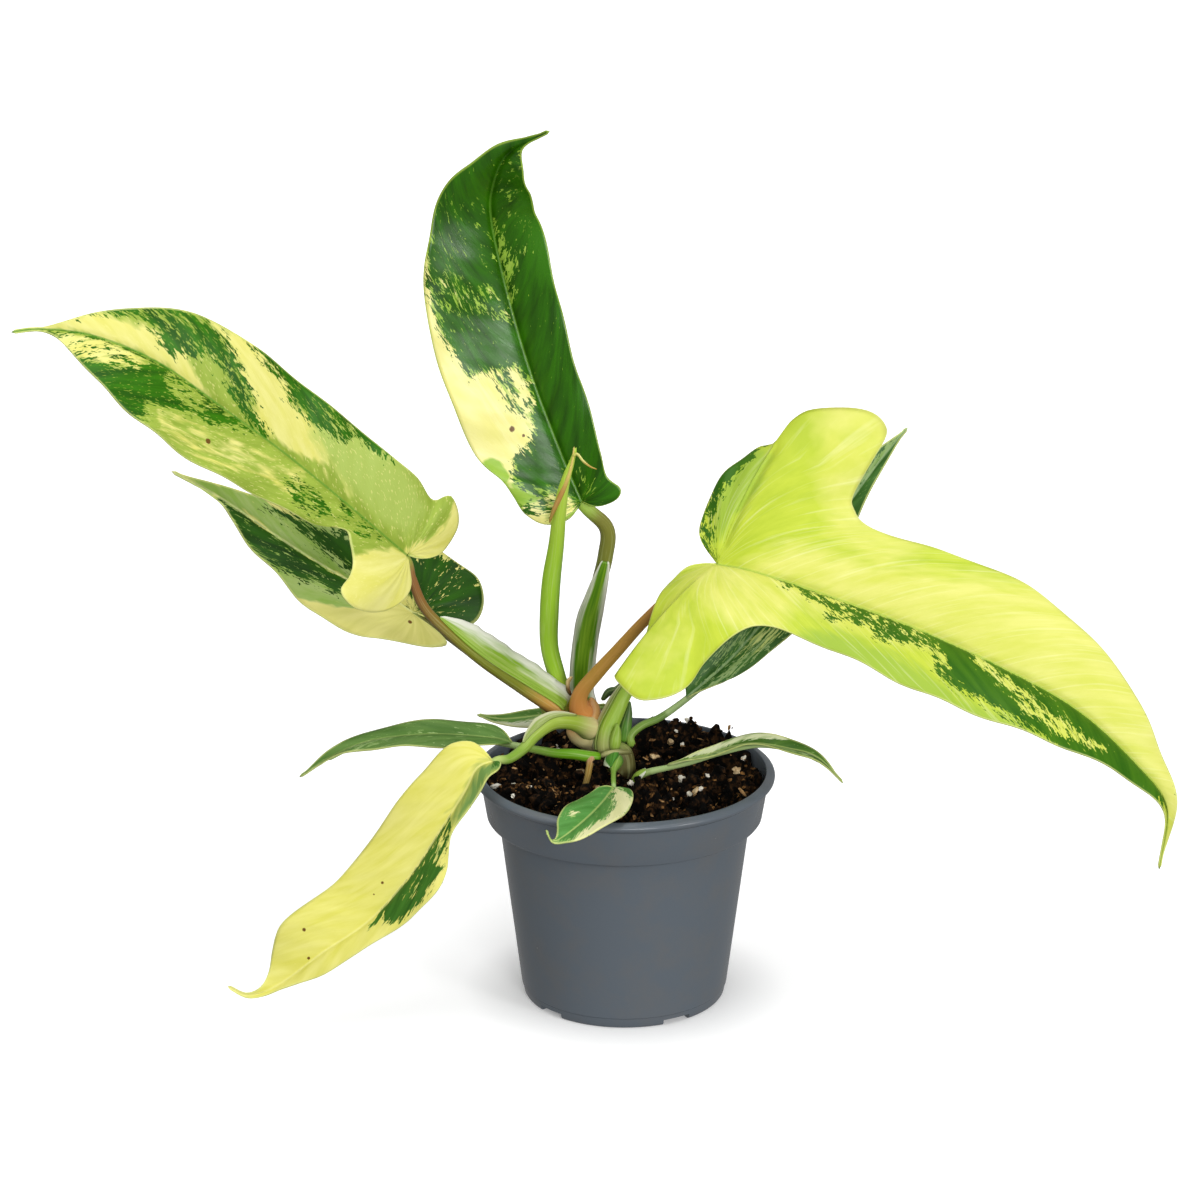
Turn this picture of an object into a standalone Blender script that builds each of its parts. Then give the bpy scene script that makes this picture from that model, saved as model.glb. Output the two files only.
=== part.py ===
"""Potted variegated philodendron: a 12 cm nursery pot of soil with two shoots growing in it.

Lengths in the tables are millimetres; the meshes are built in metres, +Z up, with the
origin at the centre of the pad under the pot. The plant's front is -Y.
"""

import math

import bmesh
import bpy
import numpy as np
from mathutils import Matrix

for old in list(bpy.data.objects):
    bpy.data.objects.remove(old, do_unlink=True)

MM = 0.001
GAP = 0.3  # between pieces that touch

# Driving dimensions
RIM_RADIUS = 60.0
POT_HEIGHT = 94.9
SKIRT_BOTTOM = 75.4  # the deep band under the rim ends here
FOOT_RADIUS = 40.5
FLOOR_UNDER, FLOOR_TOP = 2.6, 4.2
PAD_RADIUS = 11.0
TURNED_STEPS = 48
SOIL_LEVEL = 88.0
BLADE_THICKNESS = 0.6

# Foot notches, as the angle of each about +Z from the front, and the drain holes
NOTCH_ANGLES = (31, 101, 172, 243, 313)
NOTCH_WIDTH, NOTCH_HEIGHT = 12.0, 2.4
DRAIN_COUNT, DRAIN_RADIUS, DRAIN_CIRCLE = 6, 3.6, 24.0

MAIN_CROWN = (-18.0, 18.5)  # the bulge the main shoot's stalks stand on
MAIN_NECK = (-10.5, 20.0)  # where its stem enters the soil
SIDE_CROWN = (-1.5, 8.0)


# ---------------------------------------------------------------- curves and surfaces
def unit(v):
    v = np.asarray(v, float)
    return v / np.linalg.norm(v, axis=-1, keepdims=True)


def smooth(points, u):
    """The smooth curve through points; u counts points from 0."""
    p = np.asarray(points, float)
    ends = np.vstack([2 * p[0] - p[1], p, 2 * p[-1] - p[-2]])
    u = np.clip(np.asarray(u, float), 0, len(p) - 1)
    i = np.minimum(u.astype(int), len(p) - 2)
    f = (u - i)[..., None]
    a, b, c, d = ends[i], ends[i + 1], ends[i + 2], ends[i + 3]
    return 0.5 * (2 * b + (c - a) * f + (2 * a - 5 * b + 4 * c - d) * f**2 + (3 * b - a - 3 * c + d) * f**3)


class Midrib:
    """A blade's midrib: its points by length, and at each the forward, right and face directions."""

    def __init__(self, points, face):
        self.points = smooth(points, np.linspace(0, len(points) - 1, 30 * (len(points) - 1) + 1))
        steps = np.linalg.norm(np.diff(self.points, axis=0), axis=1)
        self.lengths = np.concatenate([[0], np.cumsum(steps)])
        self.length = self.lengths[-1]
        self.forward = unit(np.gradient(self.points, self.lengths, axis=0))
        face = np.asarray(face, float)
        share = self.lengths / self.length
        stops = np.linspace(0, 1, len(face))
        self.face = np.stack([np.interp(share, stops, face[:, k]) for k in range(3)], -1)

    def at(self, along):
        along = np.asarray(along, float)
        inside = np.clip(along, 0, self.length)
        point, forward, face = (
            np.stack([np.interp(inside, self.lengths, table[:, k]) for k in range(3)], -1)
            for table in (self.points, self.forward, self.face)
        )
        forward = unit(forward)
        face = unit(face - (face * forward).sum(-1, keepdims=True) * forward)
        return point + (along - inside)[..., None] * forward, forward, face, np.cross(forward, face)


def blade_grid(leaf, rows, half_columns):
    """The blade's middle surface: rows follow the side veins out from the midrib to both margins."""
    rib = Midrib(leaf["rib"], leaf["face"])
    v = np.linspace(0, 1, rows)
    margin = {}
    for side in ("left", "right"):
        outline = np.array(leaf[side], float)
        outline[-1] = (rib.length, 0)
        margin[side] = smooth(outline, v * (len(outline) - 1))
        margin[side][1:-1, 1] = np.maximum(margin[side][1:-1, 1], 0.8)
    along, out = (margin["left"] + margin["right"]).T / 2
    x = np.maximum(along - leaf.get("sweep", 0.55) * out, 0)
    root = np.minimum(np.maximum.accumulate(x * x / (x + 6) + 6 * (x / rib.length) ** 2), rib.length)
    root[0], root[-1] = 0, rib.length
    camber = math.radians(leaf.get("camber", 12))
    grid = np.zeros((rows, 2 * half_columns + 1, 3))
    for sign, side in ((-1, "left"), (1, "right")):
        lift = math.radians(leaf.get("lift_" + side, 14))
        for column in range(half_columns + 1):
            t = column / half_columns
            point, _, face, right = rib.at(root + (margin[side][:, 0] - root) * t**1.3)
            reach = (margin[side][:, 1] * t)[:, None]
            angle = lift + camber * (1 - t)
            grid[:, half_columns + sign * column] = point + reach * (
                sign * right * math.cos(angle) + face * math.sin(angle)
            )
    return grid


# ---------------------------------------------------------------- materials and objects
def srgb(code):
    levels = [int(code[i : i + 2], 16) / 255 for i in (1, 3, 5)]
    return [c / 12.92 if c <= 0.04045 else ((c + 0.055) / 1.055) ** 2.4 for c in levels] + [1.0]


def material(name, code, roughness):
    made = bpy.data.materials.new(name)
    made.use_nodes = True
    shader = made.node_tree.nodes["Principled BSDF"]
    shader.inputs["Base Color"].default_value = srgb(code)
    shader.inputs["Roughness"].default_value = roughness
    shader.inputs["Metallic"].default_value = 0.0
    return made


def add_object(name, data, code, roughness):
    obj = bpy.data.objects.new(name, data)
    bpy.context.scene.collection.objects.link(obj)
    if code:
        data.materials.append(material(name, code, roughness))
    return obj


def mesh_object(name, bm, code=None, roughness=0.5):
    bmesh.ops.recalc_face_normals(bm, faces=bm.faces)
    mesh = bpy.data.meshes.new(name)
    bm.to_mesh(mesh)
    bm.free()
    mesh.shade_smooth()
    mesh.set_sharp_from_angle(angle=math.radians(40))
    return add_object(name, mesh, code, roughness)


def turned(profile, steps=TURNED_STEPS):
    """A bmesh of the closed profile of (radius, height) points, spun about Z."""
    bm = bmesh.new()
    verts = [bm.verts.new((r * MM, 0, z * MM)) for r, z in profile]
    edges = [bm.edges.new(pair) for pair in zip(verts, verts[1:])]
    bmesh.ops.spin(
        bm, geom=verts + edges, cent=(0, 0, 0), axis=(0, 0, 1), angle=math.tau, steps=steps, use_merge=True
    )
    bmesh.ops.remove_doubles(bm, verts=bm.verts, dist=1e-6)
    return bm


# ---------------------------------------------------------------- pot and soil
def pot_outside():
    return [
        (0, 0),
        (PAD_RADIUS, 0),
        (PAD_RADIUS + 1.5, FLOOR_UNDER),
        (FOOT_RADIUS - 5.5, FLOOR_UNDER),
        (FOOT_RADIUS - 4, 0),
        (FOOT_RADIUS - 1, 0),
        (FOOT_RADIUS, 1.1),
        (FOOT_RADIUS + 0.5, 4.4),
        (49.4, 68),
        (50.4, SKIRT_BOTTOM),
        (54.4, SKIRT_BOTTOM + 0.1),
        (55.1, SKIRT_BOTTOM + 1.0),
        (57.3, 89.8),
        (59.2, 91.6),
        (RIM_RADIUS, 92.9),
        (RIM_RADIUS - 0.5, 93.9),
        (RIM_RADIUS - 3, POT_HEIGHT),
    ]


def pot_inside():
    """From the rim down to the floor."""
    return [(56.3, 94.3), (55.9, 89.8), (53.8, 77.2), (49.3, 75.4), (39.3, 5.0), (38.4, FLOOR_TOP), (0, FLOOR_TOP)]


def make_pot():
    pot = mesh_object("pot", turned(pot_outside() + pot_inside()), "#565a60", 0.42)
    bm = bmesh.new()
    for k in range(DRAIN_COUNT):
        turn = math.tau * (k + 0.5) / DRAIN_COUNT
        made = bmesh.ops.create_cone(
            bm, cap_ends=True, segments=12, radius1=DRAIN_RADIUS * MM, radius2=DRAIN_RADIUS * MM, depth=8 * MM
        )
        spot = (DRAIN_CIRCLE * math.cos(turn) * MM, DRAIN_CIRCLE * math.sin(turn) * MM, 3.5 * MM)
        bmesh.ops.translate(bm, verts=made["verts"], vec=spot)
    for angle in NOTCH_ANGLES:
        made = bmesh.ops.create_cube(bm, size=MM)
        bmesh.ops.scale(bm, verts=made["verts"], vec=(NOTCH_WIDTH, 8, 2 * NOTCH_HEIGHT))
        bmesh.ops.translate(bm, verts=made["verts"], vec=(0, -(FOOT_RADIUS - 1) * MM, 0))
        turn = Matrix.Rotation(math.radians(angle), 3, "Z")
        bmesh.ops.rotate(bm, verts=made["verts"], cent=(0, 0, 0), matrix=turn)
    cutter = mesh_object("pot_cutter", bm)
    cutter.hide_render = True
    cutter.display_type = "WIRE"
    cut = pot.modifiers.new("notches_and_drains", "BOOLEAN")
    cut.operation = "DIFFERENCE"
    cut.object = cutter


def soil_height(x, y):
    """Lumpy surface, level round the two crowns, with a mound against the rim at the back right."""
    lumps = 0.7 * math.sin(0.33 * x + 1.0) * math.sin(0.29 * y + 0.4) + 0.5 * math.sin(0.61 * x - 0.4 * y)
    mound = 8.5 * math.exp(-((x - 27) ** 2 / 300 + (y - 43) ** 2 / 130))
    near = min(math.dist((x, y), MAIN_NECK) - 7, math.dist((x, y), SIDE_CROWN) - 9)
    level = min(max(near / 6, 0), 1)
    return SOIL_LEVEL + level * (lumps + mound)


def make_soil():
    side = [(r - GAP - 0.15, z) for r, z in pot_inside()[1:5]]
    side[0] = (side[0][0], 88.0)
    top = [(r, SOIL_LEVEL) for r in (0, 9, 18, 27, 36, 45, 52)]
    bm = turned([(0, FLOOR_TOP + GAP), (38.0, FLOOR_TOP + GAP)] + side[::-1] + top[::-1])
    for vert in bm.verts:
        if vert.co.z > (SOIL_LEVEL - 0.01) * MM and math.hypot(vert.co.x, vert.co.y) < 53 * MM:
            vert.co.z = soil_height(vert.co.x / MM, vert.co.y / MM) * MM
    mesh_object("potting_soil", bm, "#241a12", 0.95)


def make_crowns():
    """The main shoot's stem leans out of the soil and swells under its stalks; the side shoot's is a stub."""
    main = [(0, 0), (3.8, 0), (4.2, 4), (6, 10), (8.3, 14.5), (8.6, 16), (7, 18), (4, 19), (0, 19.2)]
    side = [(0, 0), (6.3, 0), (6.5, 4), (5.6, 8), (4, 10.8), (0, 11.6)]
    bm = turned(main, 16)
    for vert in bm.verts:
        lean = max(1 - vert.co.z / (19.2 * MM), 0) ** 1.3
        vert.co.x += lean * (MAIN_NECK[0] - MAIN_CROWN[0]) * MM
        vert.co.y += lean * (MAIN_NECK[1] - MAIN_CROWN[1]) * MM
    for name, made, spot, code in (
        ("crown_main", bm, MAIN_CROWN, "#b98a4c"),
        ("crown_side", turned(side, 16), SIDE_CROWN, "#7c7a38"),
    ):
        crown = mesh_object(name, made, code, 0.55)
        crown.location = (spot[0] * MM, spot[1] * MM, (SOIL_LEVEL + GAP + 0.05) * MM)


# ---------------------------------------------------------------- leaves
# rib: the midrib from the leaf stalk's joint to the tip. face: which way the upper side looks,
# from the joint to the tip. left and right: the outline as (along the midrib, out from it),
# along being negative on a lobe that reaches back past the joint.
LEAVES = {
    "upper_left": dict(
        rib=[(-85, -4, 186), (-106, -14, 209), (-130, -22, 233), (-153, -30, 254), (-176, -37, 274),
             (-199, -42, 286), (-218, -46, 290), (-230, -50, 290)],
        face=[(0.3, -0.75, 0.6), (0.25, -0.72, 0.66)],
        left=[(0, 0), (-5, 14), (9, 33), (22, 35), (27, 18), (50, 20), (82, 27), (108, 31), (134, 30),
              (155, 21), (175, 3), (190, 0)],
        right=[(0, 0), (-12, 8), (-11, 24), (0, 30), (9, 25), (36, 26), (69, 26), (101, 27), (127, 24),
               (150, 14), (174, 2), (190, 0)],
        size=(17, 4), color="#b9cf72",
    ),
    "rear_left": dict(
        rib=[(-85, 34, 149), (-96, 38, 155), (-111, 42, 160), (-135, 46, 174), (-162, 50, 192), (-182, 54, 202)],
        face=[(0.25, -0.7, 0.66), (0.25, -0.7, 0.66)],
        left=[(0, 0), (-14, 3), (-17, 8), (-4, 17), (12, 21), (27, 23), (49, 18), (73, 11), (96, 3), (112, 0)],
        right=[(0, 0), (-16, 4), (-24, 10), (-19, 21), (2, 29), (25, 27), (53, 18), (75, 11), (97, 4), (112, 0)],
        size=(13, 3), color="#5c8a3c",
    ),
    "top": dict(
        rib=[(-17, 12, 203), (-26, 16, 224), (-37, 22, 253), (-46, 27, 284), (-52, 28, 313), (-51, 24, 328),
             (-45, 17, 342), (-29, 8, 353)],
        face=[(0.1, -0.96, 0.25), (0.12, -0.97, 0.2), (0.2, -0.9, 0.4)],
        left=[(0, 0), (-4, 9), (2, 21), (16, 26), (35, 33), (58, 35), (83, 35), (102, 32), (123, 24),
              (138, 14), (148, 6), (160, 2), (171, 0)],
        right=[(0, 0), (-4, 7), (-3, 16), (5, 17), (14, 16), (46, 19), (75, 21), (93, 21), (110, 20),
               (134, 18), (154, 11), (161, 3), (171, 0)],
        lift_left=12, lift_right=30, size=(17, 4), color="#4d8a2c",
    ),
    "right": dict(
        rib=[(36, -8, 184), (50, -14, 183), (78, -22, 176), (112, -32, 166), (146, -42, 153), (174, -50, 139),
             (196, -56, 120), (209, -58, 102), (207, -58, 76)],
        face=[(0.1, -0.62, 0.78), (0.2, -0.66, 0.72), (0.5, -0.66, 0.5)],
        left=[(0, 0), (-12, 11), (-11, 36), (6, 56), (13, 70), (30, 76), (43, 73), (44, 62), (41, 43),
              (52, 32), (80, 33), (115, 34), (156, 23), (196, 7), (216, 2), (231, 0)],
        right=[(0, 0), (-11, 26), (-8, 62), (-3, 88), (10, 85), (16, 70), (19, 54), (23, 36), (35, 28),
               (59, 29), (86, 32), (113, 31), (150, 24), (190, 8), (214, 2), (231, 0)],
        lift_left=16, lift_right=16, camber=16, size=(21, 4), color="#cfdd5e",
    ),
    "rear_right": dict(
        rib=[(25, 22, 117), (44, 30, 132), (64, 40, 154), (85, 50, 182), (101, 57, 203), (114, 62, 218)],
        face=[(-0.2, -0.85, 0.5), (-0.2, -0.85, 0.5)],
        left=[(0, 0), (13, 14), (50, 20), (89, 14), (119, 6), (142, 0)],
        right=[(0, 0), (23, 8), (50, 14), (81, 11), (117, 4), (142, 0)],
        size=(13, 3), color="#3f6b34",
    ),
    "left": dict(
        rib=[(-45, 4, 105), (-54, 4, 107), (-77, 5, 108), (-101, 6, 105), (-117, 6, 98), (-130, 6, 89)],
        face=[(0, -0.3, 0.95), (0, -0.3, 0.95)],
        left=[(0, 0), (9, 8), (31, 10), (50, 8), (73, 4), (90, 0)],
        right=[(0, 0), (11, 6), (27, 7), (48, 6), (69, 5), (90, 0)],
        lift_left=8, lift_right=8, size=(10, 2), color="#55804a",
    ),
    "hanging": dict(
        rib=[(-52, -27, 109), (-58, -30, 107), (-63, -33, 98), (-72, -36, 84), (-84, -39, 66), (-100, -42, 48),
             (-119, -45, 35), (-142, -47, 24), (-156, -48, 20)],
        face=[(-0.35, -0.75, 0.55), (-0.5, -0.75, 0.42), (-0.4, -0.8, 0.42)],
        left=[(0, 0), (-6, 3), (3, 5), (20, 4.5), (36, 7), (50, 15), (75, 12), (101, 11), (123, 7), (136, 4.5), (145, 0)],
        right=[(0, 0), (2, 7), (8, 14), (23, 18), (46, 21), (80, 20), (102, 19), (117, 15), (128, 6), (137, 2), (145, 0)],
        size=(15, 3), color="#d3d472",
    ),
    "rear_small": dict(
        rib=[(-7, 42, 106), (-22, 42, 104), (-38, 43, 101), (-50, 45, 99), (-60, 47, 100)],
        face=[(0, -0.5, 0.85), (0, -0.5, 0.85)],
        left=[(0, 0), (18, 6), (35, 6), (46, 3), (54, 0)],
        right=[(0, 0), (16, 3), (31, 3), (45, 2), (54, 0)],
        lift_left=10, lift_right=10, size=(8, 2), color="#86a05a",
    ),
    "low_right": dict(
        rib=[(17, -6, 99), (32, -8, 104), (49, -11, 110), (65, -14, 109), (76, -16, 106), (86, -18, 96)],
        face=[(0, -0.35, 0.93), (0.4, -0.35, 0.85)],
        left=[(0, 0), (16, 2.5), (37, 4.5), (51, 4), (64, 2), (76, 0)],
        right=[(0, 0), (14, 2.5), (33, 3.2), (49, 4.5), (63, 4), (76, 0)],
        lift_left=10, lift_right=10, size=(9, 2), color="#7f9a60",
    ),
    "front": dict(
        rib=[(-4, -27, 97.5), (-8, -44, 98), (-13, -59, 97.5), (-19.5, -69, 96), (-31, -69, 95)],
        face=[(0, -0.1, 1), (0, -0.1, 1)],
        left=[(0, 0), (16, 11), (36, 13.5), (49, 12), (57, 0)],
        right=[(0, 0), (10, 6), (30, 12), (49, 7), (57, 0)],
        lift_left=8, lift_right=8, camber=10, size=(10, 2), color="#7fae60",
    ),
    "hidden": dict(
        rib=[(13, 26, 136), (26, 28, 150), (42, 30, 164), (58, 30, 174)],
        face=[(-0.1, -0.8, 0.6), (-0.1, -0.8, 0.6)],
        left=[(0, 0), (18, 7), (42, 6), (60, 0)],
        right=[(0, 0), (21, 8), (44, 7), (60, 0)],
        lift_left=10, lift_right=10, size=(8, 2), color="#4d7a36",
    ),
}

# Leaf stalks: (x, y, z, radius) from the crown out. Each ends under its own blade's joint.
STALKS = {
    "upper_left": ([(-25, 16, 108.6, 3.3), (-26.5, 15, 111.5, 3.3), (-28.8, 13.5, 116, 3.2),
                    (-41, 9, 126.5, 3), (-56.5, 4, 139.5, 2.5), (-70, 0, 153, 2), (-79, -2, 164, 1.7),
                    (-83.5, -2.5, 176, 1.7)], "#7b8a34"),
    "rear_left": ([(-28.2, 23.8, 104.6, 2.2), (-31, 27.5, 108.5, 2.2), (-35, 31, 113.5, 2.1), (-49.5, 33, 122.5, 2),
                   (-65, 33, 134.5, 1.8), (-77, 34, 143.5, 1.5)], "#5f8034"),
    "top": ([(-14.2, 25.6, 107.4, 3.4), (-15.5, 27.6, 111.5, 3.6), (-17.2, 28.5, 118, 3.8), (-16.5, 27.5, 131, 3.8),
             (-14.5, 25.5, 147, 3.5), (-11, 23, 162.5, 2.6), (-8, 20, 178, 2), (-8, 17.5, 190.5, 1.8)], "#7d7a34"),
    "right": ([(-18.5, 12.3, 107.5, 3.4), (-18.5, 11.3, 111.5, 3.6), (-18.5, 10, 117, 3.5), (-17, 9, 124, 3.4),
               (-11, 7, 133, 3.2), (-3.5, 5, 142.5, 2.8), (8, 2, 157, 2.3), (21.5, -3, 172, 2)], "#c48a3c"),
    "rear_right": ([(3.2, 11.6, 99.3, 1.7), (2.4, 12.6, 104, 1.7), (7, 15, 107.6, 1.6), (14.5, 18, 110, 1.5)], "#7ea648"),
    "left": ([(-9.4, 3, 98.5, 1.7), (-13, 1.2, 99.5, 1.7), (-20, 0.8, 100.8, 1.7), (-27.5, 1.5, 101, 1.6),
              (-36, 3, 102, 1.5)], "#7fa93c"),
    "hanging": ([(-12.8, 7.2, 103.6, 2.8), (-14, 5.3, 107.4, 3), (-17, 3.8, 110, 2.9),
                 (-21, 3, 111.5, 2.6), (-28, 0.5, 113, 2.3), (-34.5, -5, 111.5, 2.1), (-39.5, -12, 110, 1.9),
                 (-45.5, -20, 108.5, 1.7)], "#8fae4a"),
    "rear_small": ([(-1, 16.2, 94.5, 1.4), (-1, 21, 103, 1.4), (-2, 31, 109, 1.3), (-4, 38, 108, 1.2)], "#8aa058"),
    "low_right": ([(4.3, -2.4, 89.6, 1.5), (5.6, -4, 93, 1.5), (9.5, -5, 95.5, 1.4)], "#7ea648"),
    "front": ([(-3.5, 0.4, 97.5, 1.5), (-4.2, -6, 98.2, 1.2), (-4.2, -15, 97.6, 1)], "#79a848"),
    "hidden": ([(-5.2, 9.6, 100.8, 3.2), (-7.5, 10.5, 106, 3.3), (-5.5, 13, 113.5, 3), (0, 17, 120.5, 2.6),
                (6, 21.5, 128, 2)], "#9cb35c"),
}

# Stems with no blade of their own: the rolled new leaf, the side bud, the aerial root, a dry scale
SPEAR = [(-21.5, 22.8, 107.7, 3), (-22.2, 22.4, 112, 3.1), (-24.5, 21.5, 119, 3.2), (-27.5, 20.5, 128.5, 3.5),
         (-30, 18.5, 140.5, 3.6), (-30, 16, 154.5, 3.8), (-29, 12, 170.5, 3.7), (-27, 6.5, 187, 3.1),
         (-25.5, 0.5, 203.5, 2.6), (-23.5, -3.5, 215.5, 1.9), (-20.5, -5, 225.5, 1), (-19, -5.5, 231, 0.4)]
BUD = [(-3, 3.7, 100.6, 2), (-3.6, 3.1, 104, 2.6), (-3.5, 3.1, 109, 1.8), (-3, 3.8, 113.5, 0.4)]
ROOT = [(-9, 4, 93.6, 1.3), (-12, 1, 92.8, 1.4), (-14.5, -6, 91, 1.3), (-16.3, -11.5, 90.2, 1.1)]


def make_blade(name, leaf):
    rows, half = leaf["size"]
    grid = blade_grid(leaf, rows, half)
    bm = bmesh.new()
    bmesh.ops.create_grid(bm, x_segments=2 * half, y_segments=rows - 1, size=1)
    for vert in bm.verts:
        column = round((vert.co.x + 1) * half)
        row = round((vert.co.y + 1) / 2 * (rows - 1))
        vert.co = grid[row, column] * MM
    bmesh.ops.remove_doubles(bm, verts=bm.verts, dist=0.05 * MM)
    blade = mesh_object("blade_" + name, bm, leaf["color"], 0.32)
    shell = blade.modifiers.new("thickness", "SOLIDIFY")
    shell.thickness = BLADE_THICKNESS * MM
    shell.offset = 0


def make_tube(name, points, code, roughness=0.4, spacing=5.0):
    """A round stem through (x, y, z, radius) points, with closed ends."""
    length = sum(math.dist(a[:3], b[:3]) for a, b in zip(points, points[1:]))
    count = max(4, round(length / spacing) + 1)
    line = smooth(points, np.linspace(0, len(points) - 1, count))
    curve = bpy.data.curves.new(name, "CURVE")
    curve.dimensions = "3D"
    curve.bevel_depth = MM
    curve.bevel_resolution = 2
    curve.use_fill_caps = True
    spline = curve.splines.new("POLY")
    spline.points.add(count - 1)
    for point, (x, y, z, radius) in zip(spline.points, line):
        point.co = (x * MM, y * MM, z * MM, 1)
        point.radius = radius
    add_object(name, curve, code, roughness)


def under_joint(leaf, radius):
    """Where a stalk ends: behind the joint and clear of the blade's underside."""
    rib = Midrib(leaf["rib"], leaf["face"])
    point, forward, face, _ = rib.at(0.0)
    return point - forward * 0.8 - face * (radius + BLADE_THICKNESS / 2 + GAP)


def make_leaves():
    for name, leaf in LEAVES.items():
        make_blade(name, leaf)
        points, code = STALKS[name]
        radius = points[-1][3] * 0.85
        make_tube("stalk_" + name, points + [(*under_joint(leaf, radius), radius)], code)


def make_dry_scale():
    """A withered leaf sheath left between two stalks."""
    scale = dict(
        rib=[(-21.5, 14.5, 121), (-22.2, 13.6, 125), (-21.6, 12.8, 129)],
        face=[(-0.3, -0.9, 0.3), (-0.3, -0.9, 0.3)],
        left=[(0, 0), (3, 2), (6, 1.6), (8, 0)],
        right=[(0, 0), (3, 1.5), (6, 1.5), (8, 0)],
        size=(6, 1), color="#6b4526",
    )
    make_blade("dry_scale", scale)
    bpy.data.objects["blade_dry_scale"].name = "dry_scale"


make_pot()
make_soil()
make_crowns()
make_leaves()
make_tube("new_leaf_spear", SPEAR, "#9bc23c")
make_tube("side_bud", BUD, "#4f8c34", spacing=2.5)
make_tube("aerial_root", ROOT, "#7a5a2c", roughness=0.7, spacing=4)
make_dry_scale()
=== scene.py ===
# %% [markdown]
# # A potted variegated philodendron
# Two shoots grow in a 12 cm plastic nursery pot. Their leaves are green, lime and cream in sectors
# that follow the veins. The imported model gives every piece's place; this lesson makes each one
# again with its real surface. Tables and shapes are in millimetres, and the meshes are in metres.

# %% Load the frame
import math

import bmesh
import bpy
import numpy as np
from mathutils import Euler, Matrix, Vector


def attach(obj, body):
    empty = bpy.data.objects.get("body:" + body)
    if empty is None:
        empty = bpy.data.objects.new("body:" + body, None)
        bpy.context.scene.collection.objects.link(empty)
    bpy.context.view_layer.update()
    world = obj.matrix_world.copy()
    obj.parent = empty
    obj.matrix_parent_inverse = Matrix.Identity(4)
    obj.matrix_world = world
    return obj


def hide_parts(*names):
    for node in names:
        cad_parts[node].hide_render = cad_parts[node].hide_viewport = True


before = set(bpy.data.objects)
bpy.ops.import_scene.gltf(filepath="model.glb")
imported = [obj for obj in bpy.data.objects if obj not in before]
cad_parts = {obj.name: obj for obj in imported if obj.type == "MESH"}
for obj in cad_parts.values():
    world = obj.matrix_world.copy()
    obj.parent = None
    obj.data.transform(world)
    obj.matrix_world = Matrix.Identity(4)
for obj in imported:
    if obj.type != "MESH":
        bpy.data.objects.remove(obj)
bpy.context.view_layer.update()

MM = 0.001
print("nodes in the frame:", len(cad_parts))

# %% [markdown]
# ## The stage
# The plant stands on a white sheet under large soft lamps, so nothing has a hard shadow. The camera
# is 1.8 m away with a long lens, a little above the pot, which keeps the leaves' proportions true.
# What the lens sees behind the plant is white paper, while the room that lights the leaves is
# dimmer than the paper, so that dark green stays dark.

# %% Camera
DISTANCE, PITCH = 1.8, math.radians(19.4)
AIM = Vector((-0.0098, 0, 0.1662))
lens = bpy.data.cameras.new("long_lens")
lens.lens, lens.sensor_width = 137.3, 36
camera = bpy.data.objects.new("camera", lens)
camera.location = AIM + DISTANCE * Vector((0, -math.cos(PITCH), math.sin(PITCH)))
camera.rotation_euler = (math.pi / 2 - PITCH, 0, 0)
bpy.context.scene.collection.objects.link(camera)
bpy.context.scene.camera = camera
print("camera at", [round(c, 3) for c in camera.location])

# %% [markdown]
# ## Nodes and colours
# A material is a tree of nodes whose sockets hold values or links. `put` adds one node and `feed`
# fills its sockets, so that each line below reads as one step of a pattern. Colours are written as
# sRGB hex codes, as in a paint program, and turned to the linear values that Blender works with.

# %% Nodes and colours
# The numbered sockets: a Map Range takes a value from LOW..HIGH to TO_LOW..TO_HIGH, and a colour
# Mix goes from FIRST to SECOND as its SHARE grows.
VALUE, LOW, HIGH, TO_LOW, TO_HIGH = range(5)
SHARE, FIRST, SECOND = 0, 6, 7


def feed(node, inputs):
    """Fills each input, by name or number, with a value, a socket, or a node's first output in use."""
    for name, value in inputs.items():
        if isinstance(value, bpy.types.Node):
            value = next(output for output in value.outputs if output.enabled)
        if isinstance(value, bpy.types.NodeSocket):
            node.id_data.links.new(value, node.inputs[name])
        else:
            node.inputs[name].default_value = value


def put(tree, kind, inputs=None, **settings):
    """Adds a node with its settings, and feeds it."""
    node = tree.nodes.new("ShaderNode" + kind)
    for name, value in settings.items():
        setattr(node, name, value)
    feed(node, inputs or {})
    return node


def colour(code):
    """An sRGB hex code as linear red, green, blue and alpha."""
    levels = [int(code[i : i + 2], 16) / 255 for i in (1, 3, 5)]
    return [c / 12.92 if c <= 0.04045 else ((c + 0.055) / 1.055) ** 2.4 for c in levels] + [1.0]


def new_material(name):
    """A material, its node tree and its shader, a Principled BSDF."""
    made = bpy.data.materials.new(name)
    made.use_nodes = True
    return made, made.node_tree, made.node_tree.nodes["Principled BSDF"]


# %% Room and lamps
WHITE = (1, 1, 1, 1)
ROOM_LIGHT = 0.32  # of the white that the lens sees
room = bpy.data.worlds.new("white_room")
room.use_nodes = True
bpy.context.scene.world = room
tree = room.node_tree
ray = put(tree, "LightPath").outputs["Is Camera Ray"]
level = put(tree, "MapRange", {VALUE: ray, TO_LOW: ROOM_LIGHT})
feed(tree.nodes["Background"], {"Color": WHITE, "Strength": level})

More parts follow.
